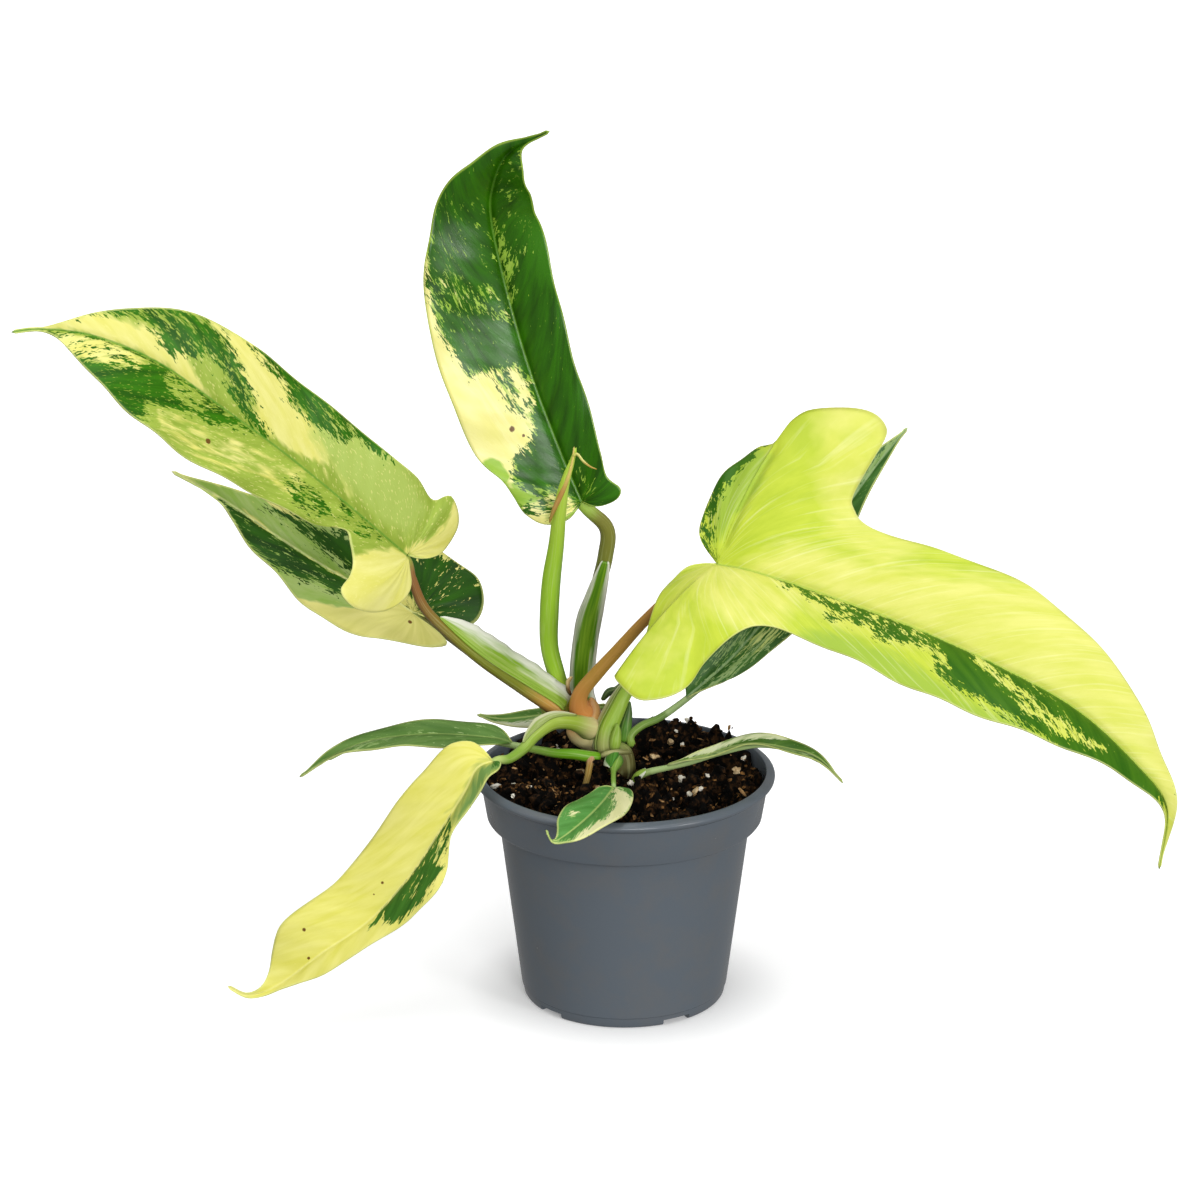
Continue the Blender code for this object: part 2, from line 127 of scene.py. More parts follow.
LAMPS = (  # name, place, size in metres and power in watts
    ("overhead_box", (-0.1, -0.2, 1.9), 2.0, 25),
    ("left_box", (-1.6, -1.3, 1.3), 1.4, 3.5),
    ("right_box", (1.6, -1.5, 0.9), 0.5, 13),
    ("front_box", (0.5, -2.4, 0.8), 1.0, 32),
)
for name, place, size, power in LAMPS:
    lamp = bpy.data.lights.new(name, "AREA")
    lamp.size, lamp.energy = size, power
    box = bpy.data.objects.new(name, lamp)
    box.location = place
    box.rotation_euler = (AIM - Vector(place)).to_track_quat("-Z", "Y").to_euler()
    bpy.context.scene.collection.objects.link(box)

bpy.context.scene.view_settings.view_transform = "Standard"
print("lamps:", len(LAMPS))

# %% [markdown]
# ## Helpers for making pieces
# Each piece is one mesh whose object stays at the origin. `piece` gives it a name, materials, the
# body it rides on, and the node that it stands for. `cloth_of` makes a sheet of squares with
# `create_grid` and moves its crossings to the places given, with what is painted on each crossing.
# A sheet keeps the way up that its grid has, so that its upper side stays the upper side.


# %% Pieces
def piece(name, bm, materials, slot=None, replaces=(), sheet=False, faceted=False):
    """Makes bm an object, which rides on the root body if it is given a slot, and replaces the nodes
    that it stands for. A sheet keeps its way up, and a faceted piece its flat faces."""
    if not sheet:
        bmesh.ops.recalc_face_normals(bm, faces=bm.faces)
    mesh = bpy.data.meshes.new(name)
    bm.to_mesh(mesh)
    bm.free()
    if not faceted:
        mesh.shade_smooth()
    for finish in materials:
        mesh.materials.append(finish)
    made = bpy.data.objects.new(name, mesh)
    bpy.context.scene.collection.objects.link(made)
    if slot:
        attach(made, "root")
    if replaces:
        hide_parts(*replaces)
    print(f"{name}: {len(mesh.polygons)} faces")
    return made


# %% Sheets
def cloth_of(places, **painted):
    """A bmesh sheet with a crossing at each of places[row, column], in mm. Each painted array has one
    value, or three, for every crossing."""
    rows, columns = places.shape[:2]
    bm = bmesh.new()
    bmesh.ops.create_grid(bm, x_segments=columns - 1, y_segments=rows - 1, size=1)
    for vert, place in zip(bm.verts, places.reshape(-1, 3)):
        vert.co = place * MM
    for name, values in painted.items():
        layers = bm.verts.layers
        layer = (layers.float_vector if values.ndim == 3 else layers.float).new(name)
        for vert, value in zip(bm.verts, values.reshape(rows * columns, *values.shape[2:])):
            vert[layer] = value
    return bm


# %% Curves
def unit(v):
    v = np.asarray(v, float)
    return v / np.linalg.norm(v, axis=-1, keepdims=True)


def smooth(points, u):
    """The smooth curve through points; u counts points from 0."""
    p = np.asarray(points, float)
    ends = np.vstack([2 * p[0] - p[1], p, 2 * p[-1] - p[-2]])
    u = np.clip(np.asarray(u, float), 0, len(p) - 1)
    i = np.minimum(u.astype(int), len(p) - 2)
    f = (u - i)[..., None]
    a, b, c, d = ends[i], ends[i + 1], ends[i + 2], ends[i + 3]
    return 0.5 * (2 * b + (c - a) * f + (2 * a - 5 * b + 4 * c - d) * f**2 + (3 * b - a - 3 * c + d) * f**3)


def run_of(points):
    """How far along the line through points each of them lies."""
    return np.concatenate([[0], np.cumsum(np.linalg.norm(np.diff(points, axis=0), axis=1))])


def read_off(along, run, table):
    """Each column of table, which is given at the distances run, at the distances along."""
    return np.stack([np.interp(along, run, column) for column in np.transpose(table)], -1)


# %% Lathe shapes
def turned(profile, steps):
    """A bmesh of the profile of (radius, height) points, spun once round."""
    bm = bmesh.new()
    verts = [bm.verts.new((r * MM, 0, z * MM)) for r, z in profile]
    edges = [bm.edges.new(pair) for pair in zip(verts, verts[1:])]
    bmesh.ops.spin(
        bm, geom=verts + edges, cent=(0, 0, 0), axis=(0, 0, 1), angle=math.tau, steps=steps, use_merge=True
    )
    bmesh.ops.remove_doubles(bm, verts=bm.verts, dist=1e-6)
    return bm


# %% Floor
paper, tree, shader = new_material("white_paper")
# The sheet glows, more with distance from the middle so that it's white out to the wall, and less
# round the pot's foot, which is a painted shadow where the pot stands. The distances from the
# middle are in metres.
place = put(tree, "TexCoord").outputs["Object"]
out = put(tree, "VectorMath", {0: place}, operation="LENGTH")
glow = put(tree, "MapRange", {VALUE: out, LOW: 0.1, HIGH: 0.9, TO_LOW: 0.42, TO_HIGH: 0.85})
# Painted shadow: the glow drops to a third round the pot's foot.
painted_foot_shadow = put(tree, "MapRange", {VALUE: out, LOW: 0.036, HIGH: 0.066, TO_LOW: 0.35})
glow_and_foot_shadow = put(tree, "Math", {0: glow, 1: painted_foot_shadow}, operation="MULTIPLY")
feed(shader, {"Base Color": (0.86, 0.86, 0.86, 1), "Roughness": 0.9})
feed(shader, {"Emission Color": WHITE, "Emission Strength": glow_and_foot_shadow})
bm = bmesh.new()
bmesh.ops.create_circle(bm, cap_ends=True, segments=64, radius=6)
floor = piece("floor", bm, [paper])
# It sends no light up: the pot and the undersides keep their shade, as over a grey table.
floor.visible_diffuse = False
floor.visible_glossy = False

# %% [markdown]
# ## The pot
# A nursery pot is injection moulded in polypropylene: a thin cone with a deep band under the rim,
# a rolled lip, and a foot with notches that let water out. A lathe shape suits it, so its outline
# is spun round, finer than the frame's, and the notches and drain holes are cut with a Boolean.

# %% Plastic
# Polypropylene, moulded in a finely eroded tool: satin, slate grey, with an orange-peel grain of
# half a millimetre, and a film of dust in blotches 17 mm wide that is browner and duller.
plastic, tree, shader = new_material("slate_polypropylene")
where = put(tree, "TexCoord").outputs["Object"]
film = put(tree, "TexNoise", {"Vector": where, "Scale": 60, "Detail": 4, "Roughness": 0.6})
dust = put(tree, "MapRange", {VALUE: film, LOW: 0.45, HIGH: 0.75})
slate, dusty = colour("#5c646c"), colour("#626568")
tone = put(tree, "Mix", {SHARE: dust, FIRST: slate, SECOND: dusty}, data_type="RGBA")
grain = put(tree, "TexNoise", {"Vector": where, "Scale": 1800, "Detail": 2})
relief = put(tree, "Bump", {"Height": grain, "Strength": 0.12, "Distance": 0.2 * MM})
rough = put(tree, "MapRange", {VALUE: dust, TO_LOW: 0.24, TO_HIGH: 0.28})
feed(shader, {"Base Color": tone, "Roughness": rough, "Normal": relief})
feed(shader, {"IOR": 1.49, "Specular IOR Level": 0.42})

# %% Pot shape
RIM, HEIGHT, BAND, FOOT = 60.0, 94.9, 75.4, 40.5
outside = [
    # the centre pad and the floor's underside
    (0, 0), (10.6, 0), (11.1, 0.3), (12.2, 2.3), (12.8, 2.6), (34.6, 2.6), (35.3, 2.2), (36.4, 0.3),
    (36.8, 0),
    # the foot and the wall
    (FOOT - 1.2, 0), (FOOT - 0.5, 0.3), (FOOT, 1.1), (FOOT + 0.4, 4.2), (FOOT + 0.9, 4.7), (49.4, 68),
    # the band
    (50.4, BAND), (54.1, BAND), (54.5, BAND + 0.2), (55.0, BAND + 0.9), (57.1, 89.2), (57.5, 90.4),
    # the lip
    (58.6, 91.2), (59.4, 91.8), (RIM - 0.1, 92.4), (RIM, 93.0), (RIM - 0.2, 93.6), (RIM - 0.8, 94.1),
    (57.6, 94.8), (57.0, HEIGHT),
]
inside = [
    (56.6, 94.8), (56.35, 94.4), (56.1, 92.5), (55.9, 89.8), (53.8, 77.2), (53.2, 76.1), (52.2, 75.7),
    (49.9, 75.6), (49.4, 75.2), (39.3, 5.0), (38.9, 4.4), (38.2, 4.2), (0, 4.2),
]
pot = piece("nursery_pot", turned(outside + inside, 144), [plastic], "pot_plastic", ["pot"])

# %% Notches and drain holes
HOLES, HOLE, AWAY = 6, 3.6, 24  # how many, their radius, and how far out they lie
bm = bmesh.new()
for k in range(HOLES):
    turn = math.tau * (k + 0.5) / HOLES
    hole = bmesh.ops.create_cone(
        bm, cap_ends=True, segments=32, radius1=HOLE * MM, radius2=HOLE * MM, depth=8 * MM
    )["verts"]
    place = Vector((AWAY * math.cos(turn), AWAY * math.sin(turn), 3.5)) * MM
    bmesh.ops.translate(bm, verts=hole, vec=place)
for angle in (31, 101, 172, 243, 313):
    notch = bmesh.ops.create_cube(bm, size=MM)["verts"]
    bmesh.ops.scale(bm, verts=notch, vec=(12, 8, 4.8))
    bmesh.ops.translate(bm, verts=notch, vec=(0, -(FOOT - 1) * MM, 0))
    about = Matrix.Rotation(math.radians(angle), 3, "Z")
    bmesh.ops.rotate(bm, verts=notch, cent=(0, 0, 0), matrix=about)
cutter = piece("cutter", bm, [])
cut = pot.modifiers.new("notches_and_drains", "BOOLEAN")
cut.operation, cut.object = "DIFFERENCE", cutter
bpy.context.view_layer.update()
whole = pot.data
pot.data = bpy.data.meshes.new_from_object(pot.evaluated_get(bpy.context.evaluated_depsgraph_get()))
pot.modifiers.clear()
pot.data.name = "nursery_pot"
pot.data.set_sharp_from_angle(angle=math.radians(35))
bpy.data.meshes.remove(whole)
bpy.data.objects.remove(cutter)
print("pot:", len(pot.data.polygons), "faces after the cuts")

# %% [markdown]
# ## The soil
# Potting mix is peat and bark crumbs with grains of white perlite, a volcanic glass popped like
# corn. The body is a turned plug with a lumpy top. Hundreds of crumbs lie on it, each a small
# ball of few faces pushed out of round, because loose grains catch light that a bump can't.


# %% Peat and perlite
def earth(name, dark, light, scale, roughness, most=(0.38, 0.68)):
    """Crumbly matter: blotches of dark and light 1 / scale metres wide, and grit a fifth of that."""
    made, tree, shader = new_material(name)
    where = put(tree, "TexCoord").outputs["Object"]
    blotch = put(tree, "TexNoise", {"Vector": where, "Scale": scale, "Detail": 5, "Roughness": 0.65})
    share = put(tree, "MapRange", {VALUE: blotch, LOW: most[0], HIGH: most[1]})
    tones = {SHARE: share, FIRST: colour(dark), SECOND: colour(light)}
    tone = put(tree, "Mix", tones, data_type="RGBA")
    grit = put(tree, "TexNoise", {"Vector": where, "Scale": scale * 5, "Detail": 4})
    relief = put(tree, "Bump", {"Height": grit, "Strength": 0.7, "Distance": 0.5 * MM})
    feed(shader, {"Base Color": tone, "Normal": relief, "Roughness": roughness, "Specular IOR Level": 0.1})
    return made


# Damp peat and composted bark: nearly black, with brown where it has dried.
peat = earth("damp_peat", "#040302", "#4a311a", 340, 0.95, (0.5, 0.74))
# Lumps that have dried out: brown.
dry_peat = earth("dry_peat", "#24160b", "#8a6236", 420, 0.95, (0.42, 0.62))
# Bark chips and dry roots: tan to brown.
bark = earth("bark_chips", "#5a3c22", "#c79f6c", 200, 0.9)
# Chunks of outer bark, sun-bleached: tan to cream.
tan_bark = earth("tan_bark", "#8c6a42", "#d9c39a", 300, 0.9)
# Expanded perlite: chalk white glass foam, a little stained.
perlite = earth("perlite_grains", "#d8d0bb", "#f5f1e6", 400, 0.8)

# %% Plug of soil
TOP, LUMPS = 88.0, 26  # height of the level soil, and how many waves make up its lumps
rng = np.random.default_rng(12)
waves = rng.uniform(-1, 1, (LUMPS, 2))
phases = rng.uniform(0, math.tau, LUMPS)
pitch = np.geomspace(0.22, 1.5, LUMPS)


def ground(x, y):
    """Height of the soil at (x, y): level round the two shoots, mounded at the back right."""
    lumps = sum(
        0.6 / p**0.75 * np.sin(p * (a * x + b * y) + c)
        for p, (a, b), c in zip(pitch, unit(waves), phases)
    )
    mound = 8.5 * np.exp(-((x - 27) ** 2 / 300 + (y - 43) ** 2 / 130))
    near = np.minimum(np.hypot(x + 10.5, y - 20) - 5, np.hypot(x + 1.5, y - 8) - 6)
    most = 6 + 9 * (np.hypot(x, y) < 50)
    return TOP + np.minimum(np.clip(near / 6, 0.1, 1) * (lumps + mound), most)


wall = [(r - 0.45, z) for r, z in [(55.3, 88.0), (53.8, 77.2), (49.3, 75.4), (39.3, 5)]]
rings = [(r, TOP) for r in np.linspace(0, 53.6, 46)]
bm = turned([(0, 4.5), (38, 4.5)] + wall[::-1] + rings[::-1], 180)
for vert in bm.verts:
    if vert.co.z > (TOP - 0.01) * MM:
        vert.co.z = ground(vert.co.x / MM, vert.co.y / MM) * MM
piece("soil_plug", bm, [peat], "potting_mix", ["potting_soil"])

# %% Crumbs, chips and perlite
SPREAD = 54.0  # radius of the soil that they lie on


def crumbs(bm, count, sizes, flat, seed, faces=1, rise=0.2, long=1.5):
    """Balls pushed out of round, strewn over the soil. sizes is the range of radii, in mm."""
    rng = np.random.default_rng(seed)
    for _ in range(count):
        radius = rng.uniform(*sizes)
        far, turn = (SPREAD - radius) * math.sqrt(rng.uniform()), rng.uniform(0, math.tau)
        x, y = far * math.cos(turn), far * math.sin(turn)
        verts = bmesh.ops.create_icosphere(bm, subdivisions=faces, radius=radius * MM)["verts"]
        for vert in verts:
            vert.co *= rng.uniform(0.6, 1.35)
        stretch = Matrix.Diagonal((rng.uniform(0.8, long), rng.uniform(0.6, 1.0), rng.uniform(*flat)))
        tilt = Euler(rng.uniform(-0.7, 0.7, 2).tolist() + [rng.uniform(0, math.tau)]).to_matrix()
        bmesh.ops.transform(bm, matrix=(tilt @ stretch).to_4x4(), verts=verts)
        height = ground(x, y) + rise * radius
        bmesh.ops.translate(bm, verts=verts, vec=Vector((x, y, height)) * MM)
    return bm


lumps = crumbs(crumbs(bmesh.new(), 1700, (0.4, 1.3), (0.6, 1.0), 5), 230, (1.4, 3.6), (0.5, 0.9), 6)
piece("peat_crumbs", lumps, [peat], "potting_mix", faceted=True)
STREWN = (  # name, finish, and then count, sizes, flatness, seed, faces, rise and length of its crumbs
    ("dry_crumbs", dry_peat, 700, (0.3, 1.1), (0.4, 0.9), 15, 1, 0.9, 2.2),
    ("bark_bits", bark, 170, (0.3, 1.1), (0.2, 0.5), 7, 1, 1.2, 2.6),
    ("perlite", perlite, 40, (0.4, 1.5), (0.7, 1.0), 8, 2, 0.8, 1.5),
    ("tan_chunks", tan_bark, 26, (0.9, 2.0), (0.5, 0.8), 31, 2, 0.7, 1.5),
)
for name, finish, *kind in STREWN:
    piece(name, crumbs(bmesh.new(), *kind), [finish], "potting_mix", faceted=True)

# %% [markdown]
# ## The leaf blades
# A blade is a thin sheet folded a little along its midrib. On paper its form would be an outline
# and a bent centre line, and that is how it is made here: rows of squares run out from the midrib
# to both edges, in the direction of the side veins. Moving the sheet's crossings then gives the
# sunk midrib, the pleats between side veins and the waves of the edge, all as real shape.


# %% Midrib
class Midrib:
    """A blade's midrib: its points by length, and at each the forward, right and face directions."""

    def __init__(self, points, face):
        self.points = smooth(points, np.linspace(0, len(points) - 1, 30 * (len(points) - 1) + 1))
        self.lengths = run_of(self.points)
        self.length = self.lengths[-1]
        # The direction is evened out over 18 mm, so that rows of squares don't cross at a bend.
        ahead = unit(np.gradient(self.points, self.lengths, axis=0))
        near = [np.clip(self.lengths + gap, 0, self.length) for gap in (-9, -6, -3, 0, 3, 6, 9)]
        self.forward = unit(sum(read_off(spot, self.lengths, ahead) for spot in near))
        self.face = read_off(self.lengths / self.length, np.linspace(0, 1, len(face)), face)

    def at(self, along):
        within = np.clip(np.asarray(along, float), 0, self.length)
        tables = (self.points, self.forward, self.face)
        point, forward, face = (read_off(within, self.lengths, table) for table in tables)
        forward = unit(forward)
        face = unit(face - (face * forward).sum(-1, keepdims=True) * forward)
        return point + (along - within)[..., None] * forward, forward, face, np.cross(forward, face)


# %% Patches of colour
def inside_by(spots, corners):
    """How far each of spots lies inside the outline through corners, in mm; negative outside."""
    a = np.array(corners, float)
    b = np.roll(a, -1, axis=0)
    from_a = spots[:, None] - a
    share = np.clip((from_a * (b - a)).sum(-1) / ((b - a) ** 2).sum(-1), 0, 1)
    away = np.linalg.norm(from_a - share[..., None] * (b - a), axis=-1).min(1)
    x, y = spots[:, :1], spots[:, 1:]
    rise = np.where(b[:, 1] == a[:, 1], 1e-9, b[:, 1] - a[:, 1])
    crossed = ((a[:, 1] > y) != (b[:, 1] > y)) & (x < a[:, 0] + (y - a[:, 1]) / rise * (b[:, 0] - a[:, 0]))
    return np.where(crossed.sum(1) % 2 == 1, away, -away)


def painted(spots, base, patches):
    """Dark, cream and light tissue at each spot as depths in mm, each patch laid over those before.
    A patch is its tissue, a shift, its corners and, if it's broken up, the depth it stays under. It
    ends at the midrib, since the two halves of a blade grow apart from each other."""
    tissue = ("dark", "cream", "light")
    depth = {name: np.full(len(spots), 9.0 if name == base else -9.0) for name in tissue}
    for name, shift, corners, *most in patches:
        reach = np.minimum(inside_by(spots, corners) + shift, most[0] if most else 9)
        reach[spots[:, 1] * sum(out for _, out in corners) < 0] = -9
        depth[name] = np.maximum(depth[name], reach)
        for other in tissue:
            if other != name and name != "dark":
                depth[other] = np.minimum(depth[other], -reach)
    return np.stack([np.clip(depth[name], -9, 9) for name in tissue], -1)


# %% Direction of the veins
FAN = 25  # mm across the veins for each radian round the joint


def vein_places(along, out, sweep, bend, width):
    """For each spot, how far it lies across the veins and how far out along its own vein, in mm.
    A vein leaves the midrib aslant, sweep mm forward for 1 mm out, and bends on towards the tip,
    till it runs beside the edge, width mm out; behind the joint the veins of the lobes fan out."""
    far = np.abs(out)
    lean = sweep + bend * np.minimum(far / width, 1.3) ** 2
    root = along - lean * far
    ahead = root > 0
    fanned = -FAN * (np.arctan2(far, along) - np.arctan2(1, lean))
    across = np.where(ahead, root / math.hypot(1, sweep), fanned)
    reach = np.where(ahead, far * np.hypot(1, lean), np.hypot(along, out))
    return np.stack([across, np.sign(out) * reach, 0 * out], -1)


# %% Blade
ASLANT = 0.55  # mm that a row of squares runs forward for each mm out
TAPER = 25  # mm before the tip, over which the relief dies out
GROOVE_DEPTH, GROOVE_WIDTH = 0.55, 1.5  # of the groove over the midrib
PLEAT, RIPPLE = 8.5, 0.8  # mm from pleat to pleat, and the height of the edge's waves
EDGE_WAVES = ((-1, "left", 31), (1, "right", 37))  # each half's side, and mm from wave to wave


def blade_form(leaf, rows, half):
    """The middle surface's crossings and, for each, its place on the flat leaf: along the midrib,
    out from it, and in from the edge."""
    rib = Midrib(leaf["rib"], leaf["face"])
    fine = np.linspace(0, 1, 2001)
    outlines = {side: np.array(leaf[side], float) for side in ("left", "right")}
    for outline in outlines.values():
        outline[-1] = (rib.length, 0)
    mean = sum(smooth(outline, fine * (len(outline) - 1)) for outline in outlines.values()) / 2
    run = run_of(mean)
    across = np.linspace(0, run[-1], rows + 1)
    v = np.interp(across, run, fine)
    margins = {side: smooth(outline, v * (len(outline) - 1)) for side, outline in outlines.items()}
    for margin in margins.values():
        margin[1:-1, 1] = np.maximum(margin[1:-1, 1], 0.8)
    along, out = sum(margins.values()).T / 2
    x = np.maximum(along - ASLANT * out, 0)
    root = x * x / (x + 6) + 6 * (x / rib.length) ** 2
    root = np.minimum(np.maximum.accumulate(root), rib.length)
    root[0], root[-1] = 0, rib.length
    taper = np.clip((rib.length - root) / TAPER, 0, 1)
    places = np.zeros((rows + 1, 2 * half + 1, 3))
    flat = np.zeros_like(places)
    for sign, side, beat in EDGE_WAVES:
        margin = margins[side]
        for column in range(half + 1):
            t = (column / half) ** 1.25  # share of the way out, closer together near the midrib
            here = root + (margin[:, 0] - root) * t**1.3
            point, _, face, right = rib.at(here)
            reach = margin[:, 1] * t
            fold = sum(
                deep * np.exp(-((inside_by(np.stack([here, sign * reach], -1), line) / wide) ** 2))
                for line, deep, wide in leaf["folds"]
            )
            angle = math.radians(leaf["lift_" + side]) + math.radians(leaf["camber"]) * (1 - t)
            up = face * math.cos(angle) - sign * right * math.sin(angle)
            sunk = -GROOVE_DEPTH * np.exp(-((reach / GROOVE_WIDTH) ** 2)) * taper
            pleat = leaf["pleat"] * np.sin(across * math.tau / PLEAT) * 4 * t * (1 - t) * taper
            swell, first, period = leaf["swell"]
            bulge = (sign < 0) * swell * np.sin((first - here) * math.tau / period) * 6 * t * t * (1 - t)
            ripple = RIPPLE * t**3 * np.sin(across * math.tau / beat + sign) * taper
            height = sunk + pleat + ripple + (bulge - fold) * taper
            outward = sign * right * math.cos(angle) + face * math.sin(angle)
            places[:, half + sign * column] = point + reach[:, None] * outward + height[:, None] * up
            flat[:, half + sign * column] = np.stack([here, sign * reach, margin[:, 1] - reach], -1)
    return places, flat


# %% [markdown]
# The surface of a leaf is waxy skin over tissue that is dark green where both cell layers hold
# chlorophyll, light green or cream where one or none does. The border between them is ragged,
# because cells divide in lines along the veins. So every crossing carries how deep it lies in each
# tissue, and noise drawn out along the veins pushes that border to and fro.


# %% Streaks along the veins
def streaks(tree, across_mm, out_mm, seed, detail=4.0, roughness=0.55, curl=0.0):
    """Noise whose blotches are about across_mm wide and out_mm long; curl bends them about."""
    vein = put(tree, "Attribute", attribute_name="vein").outputs["Vector"]
    start, scale = (seed, seed * 0.7, 0), (1 / across_mm, 1 / out_mm, 0)
    spot = put(tree, "Mapping", {"Vector": vein, "Location": start, "Scale": scale})
    kind = {"Detail": detail, "Roughness": roughness, "Distortion": curl}
    return put(tree, "TexNoise", {"Vector": spot, "Scale": 1} | kind)


def cover(tree, skin, layers):
    """Lays each of layers, a share and a tone, over skin."""
    for share, tone in layers:
        skin = put(tree, "Mix", {SHARE: share, FIRST: skin, SECOND: tone}, data_type="RGBA")
    return skin


# %% Borders of the tissues
def tissue_borders(tree, leaf):
    """The share of dark tissue, that of cream in the pale tissue, and the drift of the latter, in mm.
    Broad tongues and single flecks push the dark tissue's border about, and the drift the cream's."""
    depth = put(tree, "Attribute", attribute_name="depth").outputs["Vector"]
    in_dark, in_cream, _ = put(tree, "SeparateXYZ", {0: depth}).outputs
    seed, soft = leaf["seed"], leaf["soft"]
    swings = (
        (streaks(tree, 3, 6, seed + 11, 2), leaf["ragged"]),
        (streaks(tree, 0.8, 2.1, seed + 13, 2, 0.45, 0.9), leaf.get("fuzz", leaf["ragged"])),
        (streaks(tree, 3.6, 9, seed + 17, 2, 0.5, 0.3), leaf["drift"]),
    )
    tongues, flecks, drift = (
        put(tree, "Math", {0: noise, 1: swing, 2: -swing / 2}, operation="MULTIPLY_ADD")
        for noise, swing in swings
    )
    dark_by = put(tree, "Math", {0: in_dark, 1: tongues}, operation="ADD")
    dark_by = put(tree, "Math", {0: dark_by, 1: flecks}, operation="ADD")
    cream_by = put(tree, "Math", {0: in_cream, 1: drift}, operation="ADD")
    is_dark = put(tree, "MapRange", {VALUE: dark_by, LOW: -0.25, HIGH: 0.25})
    is_cream = put(tree, "MapRange", {VALUE: cream_by, LOW: -soft, HIGH: soft})
    return is_dark, is_cream, drift


# %% Tones of the tissues
DRIFTS = ((5, 30, 0, 0.35), (4, 22, 3, 0.38), (6, 26, 7, 0.35))  # mm across, mm out, seed, low end


def tissue_tones(tree, leaf, is_cream, drift):
    """The tones of the dark tissue and of the pale one, which is light green or cream."""
    tones = [colour(code) for code in leaf["tones"]]
    tissues = []
    for wide, long, shift, low in DRIFTS:  # each tissue drifts between its two tones
        noise = streaks(tree, wide, long, leaf["seed"] + shift)
        share = put(tree, "MapRange", {VALUE: noise, LOW: low, HIGH: 1 - low})
        first, second = tones[2 * len(tissues)], tones[2 * len(tissues) + 1]
        tissues.append(cover(tree, first, [(share, second)]))
    dark, light, cream = tissues
    over_dark, over_pale = [], [(is_cream, cream)]
    if leaf["tinge"]:  # fields of one more tone, in the tissue that the blade has most of: own colour on some blades, painted light or shade on others
        tinge = put(tree, "Attribute", attribute_name="tinge").outputs["Fac"]
        within = put(tree, "Math", {0: drift, 1: tinge}, operation="ADD")
        share = put(tree, "MapRange", {VALUE: within, LOW: -3, HIGH: 3})
        field = over_dark if leaf["base"] == "dark" else over_pale
        field.append((share, colour(leaf["tinge"][0])))
    # Single cells that lost or kept their green show as specks.
    cells, few = streaks(tree, 0.8, 2.4, leaf["seed"] + 19, 1, 0.5), leaf["specks"]
    for layers, most, tone in ((over_dark, 0.8, tones[2]), (over_pale, 0.5, tones[5])):
        speck = {VALUE: cells, LOW: few, HIGH: few + 0.02, TO_HIGH: most}
        layers.append((put(tree, "MapRange", speck), tone))
    if leaf["sheen_lines"]:  # painted sheen: whitish highlight lines over the veins
        sheen_noise = streaks(tree, 1.1, 40, leaf["seed"] + 23, 3)
        lines = {VALUE: sheen_noise, LOW: 0.54, HIGH: 0.8, TO_HIGH: leaf["sheen_lines"]}
        over_pale.append((put(tree, "MapRange", lines), colour("#f4f2c4")))
    return cover(tree, dark, over_dark), cover(tree, light, over_pale)


# %% Edge, midrib and dead spots
def fine_lines(tree, leaf):
    """The edge, a hard, clear line of thicker cuticle; the midrib, a fine line that may fade out;
    and brown spots of dead tissue. Each is a share and a tone."""
    flat = put(tree, "Attribute", attribute_name="flat").outputs["Vector"]
    along, out, to_edge = put(tree, "SeparateXYZ", {0: flat}).outputs
    edge = put(tree, "MapRange", {VALUE: to_edge, LOW: 0.6, HIGH: 0.25, TO_HIGH: 0.55})
    off_rib = put(tree, "Math", {0: out}, operation="ABSOLUTE")
    end, start = leaf["rib_end"]
    shown = put(tree, "MapRange", {VALUE: along, LOW: end, HIGH: start, TO_HIGH: leaf["rib_show"]})
    rib = put(tree, "MapRange", {VALUE: off_rib, LOW: 0.6, HIGH: 0.25, TO_HIGH: shown})
    layers = [(edge, colour(leaf["rim"])), (rib, colour(leaf["rib_tone"]))]
    for spot_along, spot_out, radius in leaf["spots"]:
        here = put(tree, "CombineXYZ", {0: along, 1: out})
        gap = put(tree, "VectorMath", {0: here, 1: (spot_along, spot_out, 0)}, operation="DISTANCE")
        ragged = {0: streaks(tree, 0.7, 0.9, 1), 1: -radius, 2: gap}
        away = put(tree, "Math", ragged, operation="MULTIPLY_ADD")
        spot = put(tree, "MapRange", {VALUE: away, LOW: radius * 0.5, HIGH: radius * 0.2})
        layers.append((spot, colour("#6a4a1c")))
    return layers


# %% Leaf skin
def leaf_skin(name, leaf, under=False):
    """Waxy cuticle, satin, with streaks along the veins; the underside is paler and duller."""
    made, tree, shader = new_material(name)
    is_dark, is_cream, drift = tissue_borders(tree, leaf)
    dark, pale = tissue_tones(tree, leaf, is_cream, drift)
    haze = [(0.35, colour("#b4c49a"))] if under else []
    skin = cover(tree, pale, [(is_dark, dark)] + fine_lines(tree, leaf) + haze)

    seed = leaf["seed"]
    cells, veins = streaks(tree, 0.35, 1.2, seed, 2), streaks(tree, 0.9, 14, seed + 5, 3)
    fine = put(tree, "Math", {0: cells, 1: 0.25}, operation="MULTIPLY")
    fine = put(tree, "Math", {0: veins, 1: 0.6, 2: fine}, operation="MULTIPLY_ADD")
    relief = put(tree, "Bump", {"Height": fine, "Strength": 0.35, "Distance": 0.3 * MM})
    satin, shine = (0.55, 0.2) if under else (leaf["satin"], leaf["shine"])
    waxy = {VALUE: streaks(tree, 2, 20, seed + 9), LOW: 0.2, HIGH: 0.8}
    rough = put(tree, "MapRange", waxy | {TO_LOW: satin, TO_HIGH: satin + 0.12})
    feed(shader, {"Base Color": skin, "Normal": relief, "Roughness": rough})
    feed(shader, {"IOR": 1.42, "Specular IOR Level": shine})
    return made


# %% [markdown]
# Each leaf's table holds its midrib, the way its upper side looks from the joint to the tip, its
# outline as (along the midrib, out from it) on either side, and its patches. A patch is a tissue,
# a shift that widens it or breaks it into flecks, and its corners as (along, out), left being
# negative. Tones run dark, dark, light, light, cream, cream.

